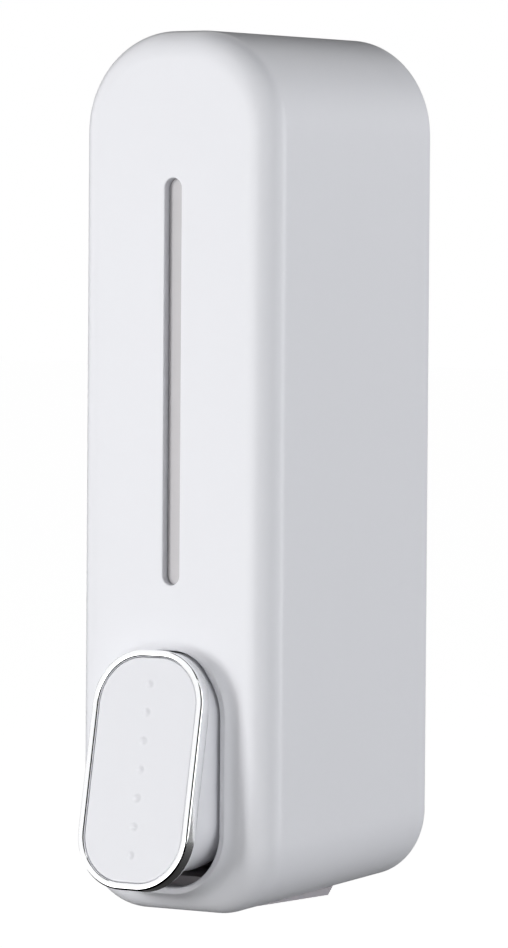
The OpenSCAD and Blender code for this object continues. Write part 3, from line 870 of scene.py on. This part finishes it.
# %% Outlines below the seam line
OPENING_STEPS = (6, 30, 10, 16, 26, 4)
SHOULDER_Z = SEAM_Z - 17


def opening_outline(offset):
    """The button opening's outline, grown by offset, matched to the cover's lower outline."""
    return corner_outline(OPENING_HALF + offset, OPENING_TOP_R + offset, OPENING_LOW_R + offset,
                          OPENING_HIGH_END, OPENING_LOW_END, OPENING_STEPS)


def lower_outline(inset):
    """The cover's outline below the seam line, and along that line."""
    half_width, bottom = COVER_HALF - inset, COVER_BOTTOM + inset
    middle = (COVER_HALF - BOTTOM_R, COVER_BOTTOM + BOTTOM_R)
    first, second, third, side, corner, ends = OPENING_STEPS
    seam = [(half_width * (1 - t), SEAM_Z) for t in shares(first + second, 2.0)] + [(0, SEAM_Z)]
    half = list(reversed(seam))
    half += run((half_width, SEAM_Z), (half_width, SHOULDER_Z), shares(third))[1:]
    half += run((half_width, SHOULDER_Z), (half_width, middle[1]), shares(side))
    half += bend(middle, BOTTOM_R - inset, 0, -90, shares(corner))
    half += run((middle[0], bottom), (0, bottom), shares(ends))
    return whole(half + [(0, bottom)])


print("round the opening:", len(opening_outline(0)), "points, lower outline:",
      len(lower_outline(0)))

# %% [markdown]
# Near the outline the surface turns quickly, so rings crowd together there. The square of an
# even count does that: it puts them at equal angles round the edge.

# %% The sheet of the front
SLOT_RINGS = [0, 0.01, 0.04, 0.1, 0.18, 0.26, 0.35, 0.6, 1.2, 2.0]
OPENING_RINGS = [0, 0.04, 0.1, 0.18, 0.3, 0.45, 0.6, 0.9, 1.2, 1.45, 1.55, 1.65, 1.8, 2.0, 2.2, 2.5,
                 2.8, 3.2, 3.8, 4.4, 5.0]
FRONT_STEPS = 44


def front_sheet(bm, inset, height, slot_rings, opening_rings, steps):
    """Both halves of the front, from the slot and the opening to the outline."""
    for hole, edge, offsets in ((slot_outline, upper_outline, slot_rings),
                                (opening_outline, lower_outline, opening_rings)):
        inner, outer = hole(offsets[-1]), edge(inset)
        outlines = [hole(offset) for offset in offsets]
        outlines += [blend(inner, outer, (1 - step / steps) ** 2) for step in range(1, steps + 1)]
        sheet(bm, [lifted(outline, height) for outline in outlines])
    bmesh.ops.remove_doubles(bm, verts=bm.verts, dist=1e-4)


bm = bmesh.new()
front_sheet(bm, 0.0, cover_front, SLOT_RINGS, OPENING_RINGS, FRONT_STEPS)
print("faces of the front", len(bm.faces))

# %% [markdown]
# From the front's outline the wall is extruded backwards, turned in by its own thickness at the
# rear, and extruded forwards again inside. The underside climbs a little on its way back.

# %% The walls of the cover
BOTTOM_RISE = 4.0
DEPTH_STOPS = [-50, -35, -20, -8]
CLIMB_START, CLIMB_FULL = -60, -80
side_y = COVER_FRONT + EDGE_R


def climb(z, y):
    """How far the underside has climbed at this y, for a point that starts at height z."""
    low = min(1.0, max(0.0, (CLIMB_START - z) / (CLIMB_START - CLIMB_FULL)))
    return low * BOTTOM_RISE * (y - side_y) / (COVER_REAR - side_y)


def inward(x, z):
    """Direction from a point of the cover's outline straight into the cover."""
    radius, middle = corner_beside(z) or (COVER_HALF, z)
    across = max(0.0, abs(x) - (COVER_HALF - radius))
    return Vector((-math.copysign(across, x), middle - z)).normalized()


def cover_walls(bm, back_stops, front_stops):
    """Extrudes the outline backwards, in by the wall's thickness, and forwards again inside."""
    verts = open_verts(bm, lambda co: abs(co.y - side_y) < 1e-3)
    flat = [(vert.co.x, vert.co.z) for vert in verts]
    inner = []
    for x, z in flat:
        step = inward(x, z) * COVER_WALL
        inner.append((x + step.x, z + step.y))
    for outline, stops in ((flat, back_stops), (inner, front_stops)):
        for y in stops:
            verts = extrude_ring(bm, verts, lambda i, old: (
                outline[i][0], y, outline[i][1] + climb(flat[i][1], y)))


cover_walls(bm, [side_y + 0.5, side_y + 3, *DEPTH_STOPS, -3, COVER_REAR],
            [COVER_REAR, *reversed(DEPTH_STOPS), side_y])
print("faces with the walls", len(bm.faces))

# %% [markdown]
# The slot and the opening get walls of their own, back to the skin inside.

# %% The walls of the holes and the skin inside
INSIDE_STEPS = 16


def wall_hole(bm, distance):
    """Walls a hole: extrudes its edge on the front straight back to the inner skin."""
    verts = open_verts(bm, lambda co: abs(distance(co.x, co.z)) < 1e-3
                       and co.y < COVER_FRONT + COVER_WALL - 0.01)
    extrude_ring(bm, verts, lambda i, old: (old.co.x, cover_inside(old.co.x, old.co.z), old.co.z))


wall_hole(bm, slot_distance)
wall_hole(bm, opening_distance)
front_sheet(bm, COVER_WALL, cover_inside, [0, 1, 2], [0, 1.5, 3.0], INSIDE_STEPS)
print("faces of the cover", len(bm.faces), "open edges", sum(edge.is_boundary for edge in bm.edges))

# %% [markdown]
# The sheets are welded into one closed shell and the rear edge is eased. The pump's base comes
# through a notch in the underside: three planes slice the faces there, the faces between them
# are deleted, and a bridge between the two cut edges walls the notch.

# %% Closing the cover and cutting its notch
NOTCH_HALF = 15.6
NOTCH_FRONT = -60.6
NOTCH_TOP = -95.5
RIM_SOFT = 0.5


def in_notch(point):
    """Whether a point of the underside lies where the pump's base comes through."""
    return abs(point.x) < NOTCH_HALF and point.y > NOTCH_FRONT and point.z < NOTCH_TOP


def cut_notch(bm):
    """Cuts the notch for the base out of the underside and walls its edges."""
    for point, normal in (((NOTCH_HALF, 0, 0), (1, 0, 0)), ((-NOTCH_HALF, 0, 0), (1, 0, 0)),
                          ((0, NOTCH_FRONT, 0), (0, 1, 0))):
        low = [face for face in bm.faces if all(v.co.z < NOTCH_TOP for v in face.verts)]
        near = dict.fromkeys(part for f in low for part in (f, *f.edges, *f.verts))
        bmesh.ops.bisect_plane(bm, geom=list(near), plane_co=point, plane_no=normal, dist=1e-5)
    gone = [face for face in bm.faces if in_notch(face.calc_center_median())]
    bmesh.ops.delete(bm, geom=gone, context="FACES")
    chains = [edge for edge in bm.edges if edge.is_boundary
              and min(v.co.y for v in edge.verts) < COVER_REAR - RIM_SOFT - 0.01]
    bmesh.ops.bridge_loops(bm, edges=chains)


bmesh.ops.remove_doubles(bm, verts=bm.verts, dist=5e-4)
bmesh.ops.recalc_face_normals(bm, faces=bm.faces)
rim = [edge for edge in bm.edges if all(abs(v.co.y - COVER_REAR) < 1e-3 for v in edge.verts)
       and any(abs(f.normal.y) < 0.5 for f in edge.link_faces)]
bmesh.ops.bevel(bm, geom=rim, offset=RIM_SOFT, segments=3, profile=0.5, affect="EDGES",
                material=-1)
cut_notch(bm)
close_up(bm)
as_piece("cover_shell", bm, WHITE_PLASTIC, "cover", ["cover"])

# %% [markdown]
# ## The level window
# A strip of smoked clear plastic is clipped behind the slot, so you can see how much soap is
# left. Its lens fills the slot a little below the face. A rounded edge and a hair of clearance
# draw the thin dark line round it, and a wider flange behind the wall holds it.

# %% Window
LENS_GAP = 0.05
LENS_EDGE = 0.3
LENS_CROWN = 0.04
LENS_SHARES = [0.98, 0.85, 0.7, 0.55, 0.4, 0.25, 0.16]
LENS_EDGE_RINGS = [LENS_EDGE, 0.2, 0.1, 0.03, 0.0]
FLANGE_LAP = 2.0


def window_strip():
    """The lens, its soft edge, and the flange behind the wall, as one closed shape."""
    low, high = box_mm("window")
    wall_back = COVER_FRONT + COVER_WALL
    half = SLOT_HALF - LENS_GAP
    corner, side = TOP_STEPS[1:]

    def outline(inset):
        r = half - inset
        right = bend((0, SLOT_HIGH_END), r, 90, 0, shares(corner))
        right += run((r, SLOT_HIGH_END), (r, SLOT_LOW_END), shares(side))
        right += bend((0, SLOT_LOW_END), r, 0, -90, shares(corner))
        return whole(right + [(0, SLOT_LOW_END - r)])

    def crown(inset):
        return low.y + LENS_CROWN * (1 - inset / half) ** 2 + round_over(inset, LENS_EDGE)

    insets = [half * share for share in LENS_SHARES] + LENS_EDGE_RINGS
    rings = [lifted(outline(inset), crown(inset)) for inset in insets]
    flange = outline(-FLANGE_LAP - LENS_GAP)
    rings += [lifted(outline(0), wall_back), lifted(flange, wall_back), lifted(flange, high.y),
              lifted(outline(half * 0.5), high.y)]
    return closed_shape(rings)


as_piece("level_window", window_strip(), WINDOW_PLASTIC, "cover", ["window"])

# %% [markdown]
# ## The push button
# The button is a lever that swings on a pin behind the top of the opening. What you see of it is
# a white plate with seven raised dots, a bright rim round the plate, and the white skirt that
# follows them into the cover. They are drawn upright round their own middle and then tilted, as
# they are on the real lever, whose bottom edge stands furthest out.

# %% Where the button is
BUTTON_TILT = math.radians(10.5)
BUTTON_W, BUTTON_H, BUTTON_R = 31.6, 57.2, 13.4
RIM_W, RIM_D = 1.7, 3.3
RIM_BEVEL = 0.5

rim_low, rim_high = box_mm("button_rim")
BUTTON_Y = rim_low.y + (BUTTON_H - RIM_BEVEL) / 2 * math.sin(BUTTON_TILT)
BUTTON_Z = rim_high.z - BUTTON_H / 2 * math.cos(BUTTON_TILT) + RIM_BEVEL * math.sin(BUTTON_TILT)


def tilt(bm):
    """Turns a shape drawn round the middle of the button into its place on the lever."""
    turn_shape(bm, -BUTTON_TILT, "X")
    move_shape(bm, (0, BUTTON_Y, BUTTON_Z))
    return bm


def button_outline(inset, steps):
    """The rim's outline, shrunk by inset."""
    return rounded_outline(BUTTON_W - 2 * inset, BUTTON_H - 2 * inset, BUTTON_R - inset,
                           corner_steps=steps)


print("middle of the button", round(BUTTON_Y, 2), round(BUTTON_Z, 2))

# %% [markdown]
# The rim is a ring whose cross section is a closed loop of a few points: a flat front band with
# a small round on both edges. Those rounds matter more than their size suggests, because each
# mirrors a whole sweep of the room and shows as a thin dark or bright line.

# %% Bright rim
RIM_ROUND = 0.5
RIM_STEPS = 28


def rim_section():
    """The rim's cross section, as inset from the outline and depth behind the front."""
    section = [(0.0, RIM_D), (0.0, 2.2), (0.0, 1.1)]
    section += [(RIM_ROUND - x, RIM_ROUND - y)
                for x, y in bend((0, 0), RIM_ROUND, 0, 90, shares(6))]
    section += [(RIM_ROUND, 0.0), (RIM_W / 2, 0.0)]
    section += [(RIM_W - RIM_ROUND + x, RIM_ROUND - y)
                for x, y in bend((0, 0), RIM_ROUND, 90, 0, shares(6))]
    return section + [(RIM_W, RIM_ROUND), (RIM_W, 1.1), (RIM_W, RIM_D)]


def bright_rim():
    """The rim, made by carrying its cross section round the button."""
    section = rim_section()
    rings = [lifted(button_outline(inset, RIM_STEPS), depth)
             for inset, depth in section + section[:1]]
    return tilt(closed_shape(rings))


as_piece("button_rim_ring", bright_rim(), BRIGHT_RIM, "button", ["button_rim"])

# %% [markdown]
# The plate's dots are raised from the plate itself, so they share its surface. A fine grid down
# the middle of the plate gives them enough points, and each point near a dot is pushed forward
# by a soft dome. Rings of the same number of points join the grid to the plate's outline.

# %% Dots and outline of the plate
DOT_COUNT, DOT_PITCH = 7, 6.8
DOT_H, DOT_FOOT = 0.42, 1.3


def dot_height(x, z):
    """How far the dots stand out of the plate here."""
    nearest = min(abs(z - DOT_PITCH * (i - (DOT_COUNT - 1) / 2)) for i in range(DOT_COUNT))
    away = math.hypot(x, nearest) / DOT_FOOT
    return DOT_H * (1 - away ** 2) ** 2 if away < 1 else 0.0


def even_outline(width, height, radius, count):
    """A rounded rectangle with its points at equal steps, count of them on each half."""
    x, z = width / 2 - radius, height / 2 - radius
    lengths = [x, radius * math.pi / 2, 2 * z, radius * math.pi / 2, x]
    points = []
    for step in range(count):
        along = sum(lengths) * step / count
        part = 0
        while along > lengths[part]:
            along -= lengths[part]
            part += 1
        t = [along / lengths[part]]
        points += [run((0, z + radius), (x, z + radius), t), bend((x, z), radius, 90, 0, t),
                   run((x + radius, z), (x + radius, -z), t), bend((x, -z), radius, 0, -90, t),
                   run((x, -z - radius), (0, -z - radius), t)][part]
    return whole(points + [(0, -z - radius)])


print("dots span", round(DOT_PITCH * (DOT_COUNT - 1) + 2 * DOT_FOOT, 1), "mm of the plate")

# %% [markdown]
# The plate's rounded edge comes first, then its flat band, and then the grid with the dots.

# %% Button plate with its dots
FACE_LOW = 0.42
FACE_BACK = 2.3
FACE_GAP = 0.12
FACE_SOFT = 0.35
GRID_CELL = 0.2
GRID_X, GRID_Z = 12, 116


def button_plate():
    """The plate: its edge, a flat band and the dotted middle."""
    bm = bmesh.new()
    count = 2 * GRID_X + 2 * GRID_Z
    width, height = GRID_X * GRID_CELL, GRID_Z * GRID_CELL
    middle = run((0, height), (width, height), shares(GRID_X))
    middle += run((width, height), (width, -height), shares(2 * GRID_Z))
    middle = whole(middle + run((width, -height), (0, -height), shares(GRID_X)) + [(0, -height)])
    inset = RIM_W + FACE_GAP

    def outline(more):
        return even_outline(BUTTON_W - 2 * (inset + more), BUTTON_H - 2 * (inset + more),
                            BUTTON_R - inset - more, count)

    edge = [(0.0, FACE_BACK), (0.0, FACE_LOW + FACE_SOFT)]
    edge += [(FACE_SOFT * (1 - math.cos(a)), FACE_LOW + FACE_SOFT * (1 - math.sin(a)))
             for a in (0.3, 0.65, 1.0, 1.3, math.pi / 2)]
    rings = [lifted(outline(more), depth) for more, depth in edge]
    flat = outline(FACE_SOFT)
    rings += [lifted(blend(middle, flat, share), FACE_LOW) for share in (0.08, 0.4, 0.8, 1.0)]
    sheet(bm, rings)
    grid = bmesh.ops.create_grid(bm, x_segments=2 * GRID_X, y_segments=2 * GRID_Z, size=1)["verts"]
    for vert in grid:
        x, z = vert.co.x * width, vert.co.y * height
        vert.co = (x, FACE_LOW - dot_height(x, z), z)
    close_up(bm)
    return tilt(bm)


as_piece("button_plate", button_plate(), WHITE_PLASTIC, "button", ["button_face"])

# %% [markdown]
# Behind the rim the lever is a hollow skirt, closed at the front. Its front end follows the
# tilted rim and its rear end is square to the cover, so each ring of it is a mixture of the two.

# %% Button skirt
LEVER_HALF = 15.4
LEVER_TOP_R, LEVER_R = 14.4, 12.2
LEVER_HIGH_END, LEVER_LOW_END = -57.7, -82.2
LEVER_STEPS = (4, 14, 14, 16, 24, 4)
LEVER_SWELL = 0.45
SWELL_REAR = -71.4
LEVER_WALL = 1.8
LEVER_REAR = -68.0
LEVER_SOFT = 0.6
MIDDLE_GAP = 6.0


def lever_outline(inset):
    """The skirt's outline, shrunk by inset."""
    return corner_outline(LEVER_HALF - inset, LEVER_TOP_R - inset, LEVER_R - inset,
                          LEVER_HIGH_END, LEVER_LOW_END, LEVER_STEPS)


def behind_rim(depth, rear=LEVER_REAR, share=0.0):
    """Height rule for rings from the tilted plane at this depth (share 0) to the rear (share 1)."""
    def height(x, z):
        front = BUTTON_Y + (z - BUTTON_Z) * math.tan(BUTTON_TILT) + depth / math.cos(BUTTON_TILT)
        return front + (rear - front) * share
    return height


def button_skirt():
    """The hollow skirt, outside then inside."""
    outer = lever_outline(0)
    swollen = lever_outline(-LEVER_SWELL)
    inner = lever_outline(LEVER_WALL)
    middle = lever_outline(MIDDLE_GAP)
    inside = RIM_D + LEVER_WALL
    rings = [lifted(middle, behind_rim(RIM_D)), lifted(swollen, behind_rim(RIM_D))]
    rings += [lifted(swollen, behind_rim(RIM_D, SWELL_REAR - LEVER_SWELL, t / 8))
              for t in range(1, 9)]
    rings += [lifted(outer, SWELL_REAR), lifted(outer, LEVER_REAR - LEVER_SOFT)]
    for angle in (0.4, 0.8, 1.2, math.pi / 2):
        outline = lever_outline(LEVER_SOFT * (1 - math.cos(angle)))
        rings.append(lifted(outline, LEVER_REAR - LEVER_SOFT * (1 - math.sin(angle))))
    rings += [lifted(inner, behind_rim(inside, LEVER_REAR, 1 - t / 4)) for t in range(5)]
    return closed_shape(rings + [lifted(middle, behind_rim(inside))])


as_piece("button_skirt", button_skirt(), WHITE_PLASTIC, "button", ["button_lever"])

# %% [markdown]
# A thin flange stands between the rim and the skirt, and a plug on it holds the rim and the
# plate.

# %% Button backing
FLANGE_INSET, FLANGE_DEPTH = 0.4, 1.2
FLANGE_SOFT = 0.3
BACKING_STEPS = 24


def rim_backing():
    """The thin flange behind the rim and the plug that holds the rim and the plate."""
    plug = RIM_W + 0.15
    rear = RIM_D + FLANGE_DEPTH
    section = [(MIDDLE_GAP, FACE_BACK), (plug, FACE_BACK), (plug, RIM_D), (FLANGE_INSET, RIM_D),
               (FLANGE_INSET, rear - FLANGE_SOFT), (FLANGE_INSET + FLANGE_SOFT, rear),
               (MIDDLE_GAP, rear)]
    return tilt(closed_shape([lifted(button_outline(inset, BACKING_STEPS), depth)
                              for inset, depth in section]))


as_piece("button_backing", rim_backing(), WHITE_PLASTIC, "button")

# %% [markdown]
# ## Turned parts
# Knobs, pins, rods and spouts are turned: a profile is drawn once, as radius and height, and
# spun round an axis. The full turn merges its last step into its first.

# %% Helpers for turned shapes
def turned(profile, steps=64, hollow=False):
    """Spins a profile of radius and height round Z. A hollow one is a closed loop off the axis."""
    bm = bmesh.new()
    verts = [bm.verts.new((radius, 0, height)) for radius, height in profile]
    ends = verts[1:] + verts[:1] if hollow else verts[1:]
    edges = [bm.edges.new(pair) for pair in zip(verts, ends)]
    bmesh.ops.spin(bm, geom=verts + edges, cent=(0, 0, 0), axis=(0, 0, 1), dvec=(0, 0, 0),
                   angle=2 * math.pi, steps=steps, use_merge=True)
    close_up(bm)
    return bm


def laid(bm, axis, centre):
    """Turns a shape drawn along Z to lie along another axis, and moves it to centre."""
    if axis == "X":
        turn_shape(bm, math.pi / 2, "Y")
    elif axis == "Y":
        turn_shape(bm, -math.pi / 2, "X")
    move_shape(bm, centre)
    return bm


def soft_rod(radius, length, soft):
    """The profile of a rod with rounded ends, from one end to the other."""
    corner = [(radius - soft + x, y) for x, y in bend((0, 0), soft, 0, 90, [0, 0.33, 0.67, 1])]
    top = [(x, length - soft + y) for x, y in corner]
    return [(0, 0)] + [(x, soft - y) for x, y in reversed(corner)] + top + [(0, length)]


def soft_tube(bore, radius, length, soft):
    """The closed section of a tube whose four corners are eased."""
    low = [(bore, soft), (bore + soft, 0), (radius - soft, 0), (radius, soft)]
    return low + [(r, length - z) for r, z in reversed(low)]


print("a rod's profile has", len(soft_rod(2, 10, 0.3)), "points")

# %% [markdown]
# A piece may be several closed shapes that overlap, as a moulding's ribs and bosses do. Each is
# made by itself and all are put into one mesh.

# %% Helpers for boxes and joined shapes
def soft_box(low, high, soft):
    """A box between two corners, with every edge rounded."""
    bm = bmesh.new()
    low, high = Vector(low), Vector(high)
    bmesh.ops.create_cube(bm, size=1)
    bmesh.ops.scale(bm, vec=high - low, verts=bm.verts)
    move_shape(bm, (high + low) / 2)
    bmesh.ops.bevel(bm, geom=bm.edges, offset=soft, segments=3, profile=0.5, affect="EDGES",
                    material=-1)
    return bm


def together(*shapes):
    """Puts shapes into one, each still a closed shape of its own."""
    joined = bmesh.new()
    for shape in shapes:
        mesh = bpy.data.meshes.new("shape")
        shape.to_mesh(mesh)
        shape.free()
        joined.from_mesh(mesh)
        bpy.data.meshes.remove(mesh)
    return joined


print("helpers ready")

# %% [markdown]
# Behind the skirt a round pad pushes the pump, and two knuckles turn on the steel pin. A web
# ties each knuckle to the skirt.

# %% Pad and knuckles behind the button
PIN_R, PIN_FIT = 1.25, 0.05
SMALL_SOFT = 0.3
pin_low, pin_high = box_mm("hinge_pin")
HINGE_Y, HINGE_Z = (pin_low.y + pin_high.y) / 2, (pin_low.z + pin_high.z) / 2
KNUCKLE_R, KNUCKLE_L = 3.2, 6.0
piston_low, piston_high = box_mm("piston")
PUMP_Z = (piston_low.z + piston_high.z) / 2
PAD_R, PAD_REAR, PAD_SOFT = 3.0, -66.0, 0.8
WEB_IN, WEB_OUT = 9.0, 11.4


def span(side, inner, outer):
    """Lowest and highest x of something on one side. The side is -1 for left and 1 for right."""
    return sorted((side * inner, side * outer))


def pin_eye(near, far, radius):
    """A tube round the button's pin, between two places along it."""
    tube = soft_tube(PIN_R + PIN_FIT, radius, far - near, SMALL_SOFT)
    return laid(turned(tube, hollow=True), "X", (near, HINGE_Y, HINGE_Z))


def lever_works():
    """The pad that pushes the pump and the two knuckles that turn on the pin."""
    pad_front = behind_rim(RIM_D + LEVER_WALL / 2)(0, PUMP_Z)
    pad = turned(soft_rod(PAD_R, PAD_REAR - pad_front, PAD_SOFT))
    shapes = [laid(pad, "Y", (0, pad_front, PUMP_Z))]
    for side in (-1, 1):
        near, far = span(side, LEVER_HALF - KNUCKLE_L, LEVER_HALF - 0.1)
        shapes.append(pin_eye(near, far, KNUCKLE_R))
        near, far = span(side, WEB_IN, WEB_OUT)
        shapes.append(soft_box((near, LEVER_REAR - 2, HINGE_Z + PIN_R + 0.2),
                               (far, HINGE_Y, HINGE_Z + KNUCKLE_R - 0.6), SMALL_SOFT))
    return together(*shapes)


as_piece("button_works", lever_works(), WHITE_PLASTIC, "button")

# %% [markdown]
# Inside the cover there is a hook bar near the top, about which the whole cover tilts open, two
# ears that carry the button's pin, and two catches at the bottom for the latch. They belong to
# the cover's moulding and move with it.

# %% Fittings inside the cover
BAR_R = 1.5
BAR_Y, BAR_Z = COVER_REAR - 3.2, COVER_TOP - 7.5
BAR_HALF = 18.7
EAR_IN, EAR_T, EAR_R = LEVER_HALF + 0.8, 3.2, 4.0
CATCH_IN, CATCH_W, CATCH_T = 15.8, 3.2, 2.0
CATCH_Y, CATCH_TOP = -6.8, -93.5


def cover_fittings():
    """Hook bar, pin ears and latch catches."""
    bar = turned(soft_rod(BAR_R, 2 * BAR_HALF, SMALL_SOFT), steps=32)
    shapes = [laid(bar, "X", (-BAR_HALF, BAR_Y, BAR_Z))]
    front = COVER_FRONT + COVER_WALL - 0.8
    for side in (-1, 1):
        near, far = span(side, EAR_IN, EAR_IN + EAR_T)
        shapes.append(pin_eye(near, far, EAR_R))
        for low, high in ((PIN_R + 0.3, EAR_R), (-EAR_R, -PIN_R - 0.3)):
            shapes.append(soft_box((near, front, HINGE_Z + low), (far, HINGE_Y, HINGE_Z + high),
                                   SMALL_SOFT))
        near, far = span(side, CATCH_IN, CATCH_IN + CATCH_W)
        shapes.append(soft_box((near, CATCH_Y, COVER_BOTTOM + BOTTOM_RISE + 2.6),
                               (far, CATCH_Y + CATCH_T, CATCH_TOP), SMALL_SOFT))
    return together(*shapes)


as_piece("cover_fittings", cover_fittings(), WHITE_PLASTIC, "cover")

# %% [markdown]
# ## The bottle
# The bottle is blow moulded polyethylene: a rounded block with a wide neck at the top for
# filling and a spigot underneath that plugs into the pump. One profile of rings, outside up and
# inside down, gives it an even wall.

# %% Rings of the bottle
bottle_low, bottle_high = box_mm("reservoir")
port_low, port_high = box_mm("nozzle")
PORT_Y = (port_low.y + port_high.y) / 2
BOTTLE_R = 7.0
BOTTLE_BASE = -36.43
BOTTLE_TOP = 82.0
BOTTLE_CORNER, BOTTLE_END = 14, 6


def level_ring(half_x, low_y, high_y, radius, height):
    """A flat rounded rectangle of points at one height, seen from above."""
    outline = rounded_outline(2 * half_x, high_y - low_y, radius, corner_steps=BOTTLE_CORNER,
                              end_steps=BOTTLE_END)
    return [(x, (low_y + high_y) / 2 + y, height) for x, y in outline]


def round_ring(radius, height):
    """A circle of points at one height, round the pump's port."""
    return level_ring(radius, PORT_Y - radius, PORT_Y + radius, radius * 0.999, height)


def bottle_rings(inset):
    """The body of the bottle from its base to its top, shrunk by inset."""
    half_x, low_y, high_y = bottle_high.x - inset, bottle_low.y + inset, bottle_high.y - inset
    r = BOTTLE_R - inset
    rings = []
    for angle in (0, 15, 30, 45, 60, 75, 90):
        fall = r * (1 - math.sin(math.radians(angle)))
        lift = r * (1 - math.cos(math.radians(angle)))
        rings.append(level_ring(half_x - fall, low_y + fall, high_y - fall, max(r - fall, 0.4),
                                BOTTLE_BASE + inset + lift))
    middle = BOTTLE_BASE + BOTTLE_TOP
    rings += [[(x, y, middle - z) for x, y, z in points] for points in reversed(rings)]
    return rings


print("the body of the bottle has", len(bottle_rings(0)), "rings")

# %% [markdown]
# The profile starts at the spigot's mouth, goes up the outside and over the neck, and comes back
# down inside.

# %% Bottle
BOTTLE_WALL = 1.2
SPIGOT_R, SPIGOT_BORE = 5.2, 3.8
NECK_R, MOUTH_R = 13.0, 11.0


def bottle():
    """The bottle with its spigot and neck, outside up and inside down."""
    rings = [round_ring(SPIGOT_BORE, bottle_low.z), round_ring(SPIGOT_R - 0.3, bottle_low.z),
             round_ring(SPIGOT_R, bottle_low.z + 0.3), round_ring(SPIGOT_R, BOTTLE_BASE - 0.6),
             round_ring(SPIGOT_R + 0.6, BOTTLE_BASE)]
    rings += bottle_rings(0)
    rings += [round_ring(NECK_R + 0.6, BOTTLE_TOP), round_ring(NECK_R, BOTTLE_TOP + 0.6),
              round_ring(NECK_R, bottle_high.z - 0.4), round_ring(NECK_R - 0.4, bottle_high.z),
              round_ring(MOUTH_R + 0.4, bottle_high.z), round_ring(MOUTH_R, bottle_high.z - 0.4),
              round_ring(MOUTH_R, BOTTLE_TOP - BOTTLE_WALL)]
    rings += list(reversed(bottle_rings(BOTTLE_WALL)))
    rings += [round_ring(SPIGOT_BORE, BOTTLE_BASE + BOTTLE_WALL), rings[0]]
    return closed_shape(rings)


as_piece("bottle", bottle(), BOTTLE_PLASTIC, "bottle", ["reservoir"])

# %% [markdown]
# ## Springs
# A coil spring is a small circle spun round an axis while it climbs. `spin` does both at once
# when it is given a step along the axis.

# %% Springs
STEPS_A_TURN, WIRE_SIDES = 36, 10


def coil(mid_radius, wire, length, turns):
    """A coil along Z from 0 to length."""
    bm = bmesh.new()
    bmesh.ops.create_circle(bm, segments=WIRE_SIDES, radius=wire)
    turn_shape(bm, math.pi / 2, "X")
    move_shape(bm, (mid_radius, 0, wire))
    steps = round(turns * STEPS_A_TURN)
    bmesh.ops.spin(bm, geom=bm.verts[:] + bm.edges[:], cent=(0, 0, 0), axis=(0, 0, 1),
                   dvec=(0, 0, (length - 2 * wire) / steps), angle=2 * math.pi * turns, steps=steps)
    close_up(bm)
    return bm


def spring_piece(node, wire, turns, along):
    """A spring in the place of a node, along Y or Z."""
    low, high = box_mm(node)
    middle = (low + high) / 2
    if along == "Y":
        length, across, direction = high.y - low.y, high.x - low.x, (0, 1, 0)
        start = (middle.x, low.y, middle.z)
    else:
        length, across, direction = high.z - low.z, high.y - low.y, (0, 0, 1)
        start = (middle.x, middle.y, low.z)
    shape = laid(coil(across / 2 - wire, wire, length, turns), along, start)
    spring = as_piece(node + "_coil", shape, STEEL, "base", [node])
    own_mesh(spring)


spring_piece("pump_spring", 0.5, 7, "Y")
spring_piece("latch_spring", 0.3, 5, "Z")

# %% [markdown]
# ## The spout
# The spout is the small turned piece under the base that soap falls from. Its shank and its
# flange are one turned profile, with the bore running right through.

# %% Spout
SPOUT_R, SHANK_R, SHANK_BORE = 1.8, 3.95, 2.9
NOZZLE_FLANGE_R, NOZZLE_TIP_R = 7.0, 3.0
TIP_H, FLANGE_TOP = 0.6, 1.6


def spout():
    """Tip, flange and shank of the spout."""
    low, high = box_mm("nozzle")
    base_z, step_z = low.z + FLANGE_TOP, low.z + TIP_H
    profile = [(SPOUT_R, low.z + 0.15), (SPOUT_R + 0.15, low.z), (NOZZLE_TIP_R - 0.2, low.z),
               (NOZZLE_TIP_R, low.z + 0.2), (NOZZLE_TIP_R, step_z), (NOZZLE_FLANGE_R - 0.3, step_z),
               (NOZZLE_FLANGE_R, step_z + 0.3), (NOZZLE_FLANGE_R, base_z), (SHANK_R, base_z),
               (SHANK_R, high.z - 0.3), (SHANK_R - 0.3, high.z), (SHANK_BORE, high.z),
               (SHANK_BORE, base_z + 1), (SPOUT_R, base_z)]
    return laid(turned(profile, hollow=True), "Z", (0, PORT_Y, 0))


as_piece("spout", spout(), PUMP_PLASTIC, "base", ["nozzle"])

# %% [markdown]
# ## Parts that keep their shape
# The rest of the engineering model has the right shape already, so those parts only get their
# finishes.

# %% Finishes for the parts that stay
KEPT = {
    "wall_plate": INNER_PLASTIC_PAINTED_SHADE, "carrier": INNER_PLASTIC_PAINTED_SHADE, "latch": INNER_PLASTIC_PAINTED_SHADE,
    "pump_body": PUMP_PLASTIC, "pump_cap": PUMP_PLASTIC, "piston": PUMP_PLASTIC,
    "inlet_seat": PUMP_PLASTIC, "fill_cap": CAP_PLASTIC,
    "hinge_pin": STEEL, "carrier_screws": STEEL, "pump_screws": STEEL,
    "pin_clips": STEEL, "inlet_ball": STEEL, "inlet_gasket": RUBBER, "nozzle_oring": RUBBER,
    "piston_seal": RUBBER, "cap_gasket": RUBBER, "outlet_valve": SILICONE,
}
for name, finish in KEPT.items():
    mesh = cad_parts[name].data
    mesh.materials.clear()
    mesh.materials.append(finish)
print("kept parts:", len(KEPT))

# %% [markdown]
# ## Sizes
# The finished pieces have to fill the same box as the engineering model.
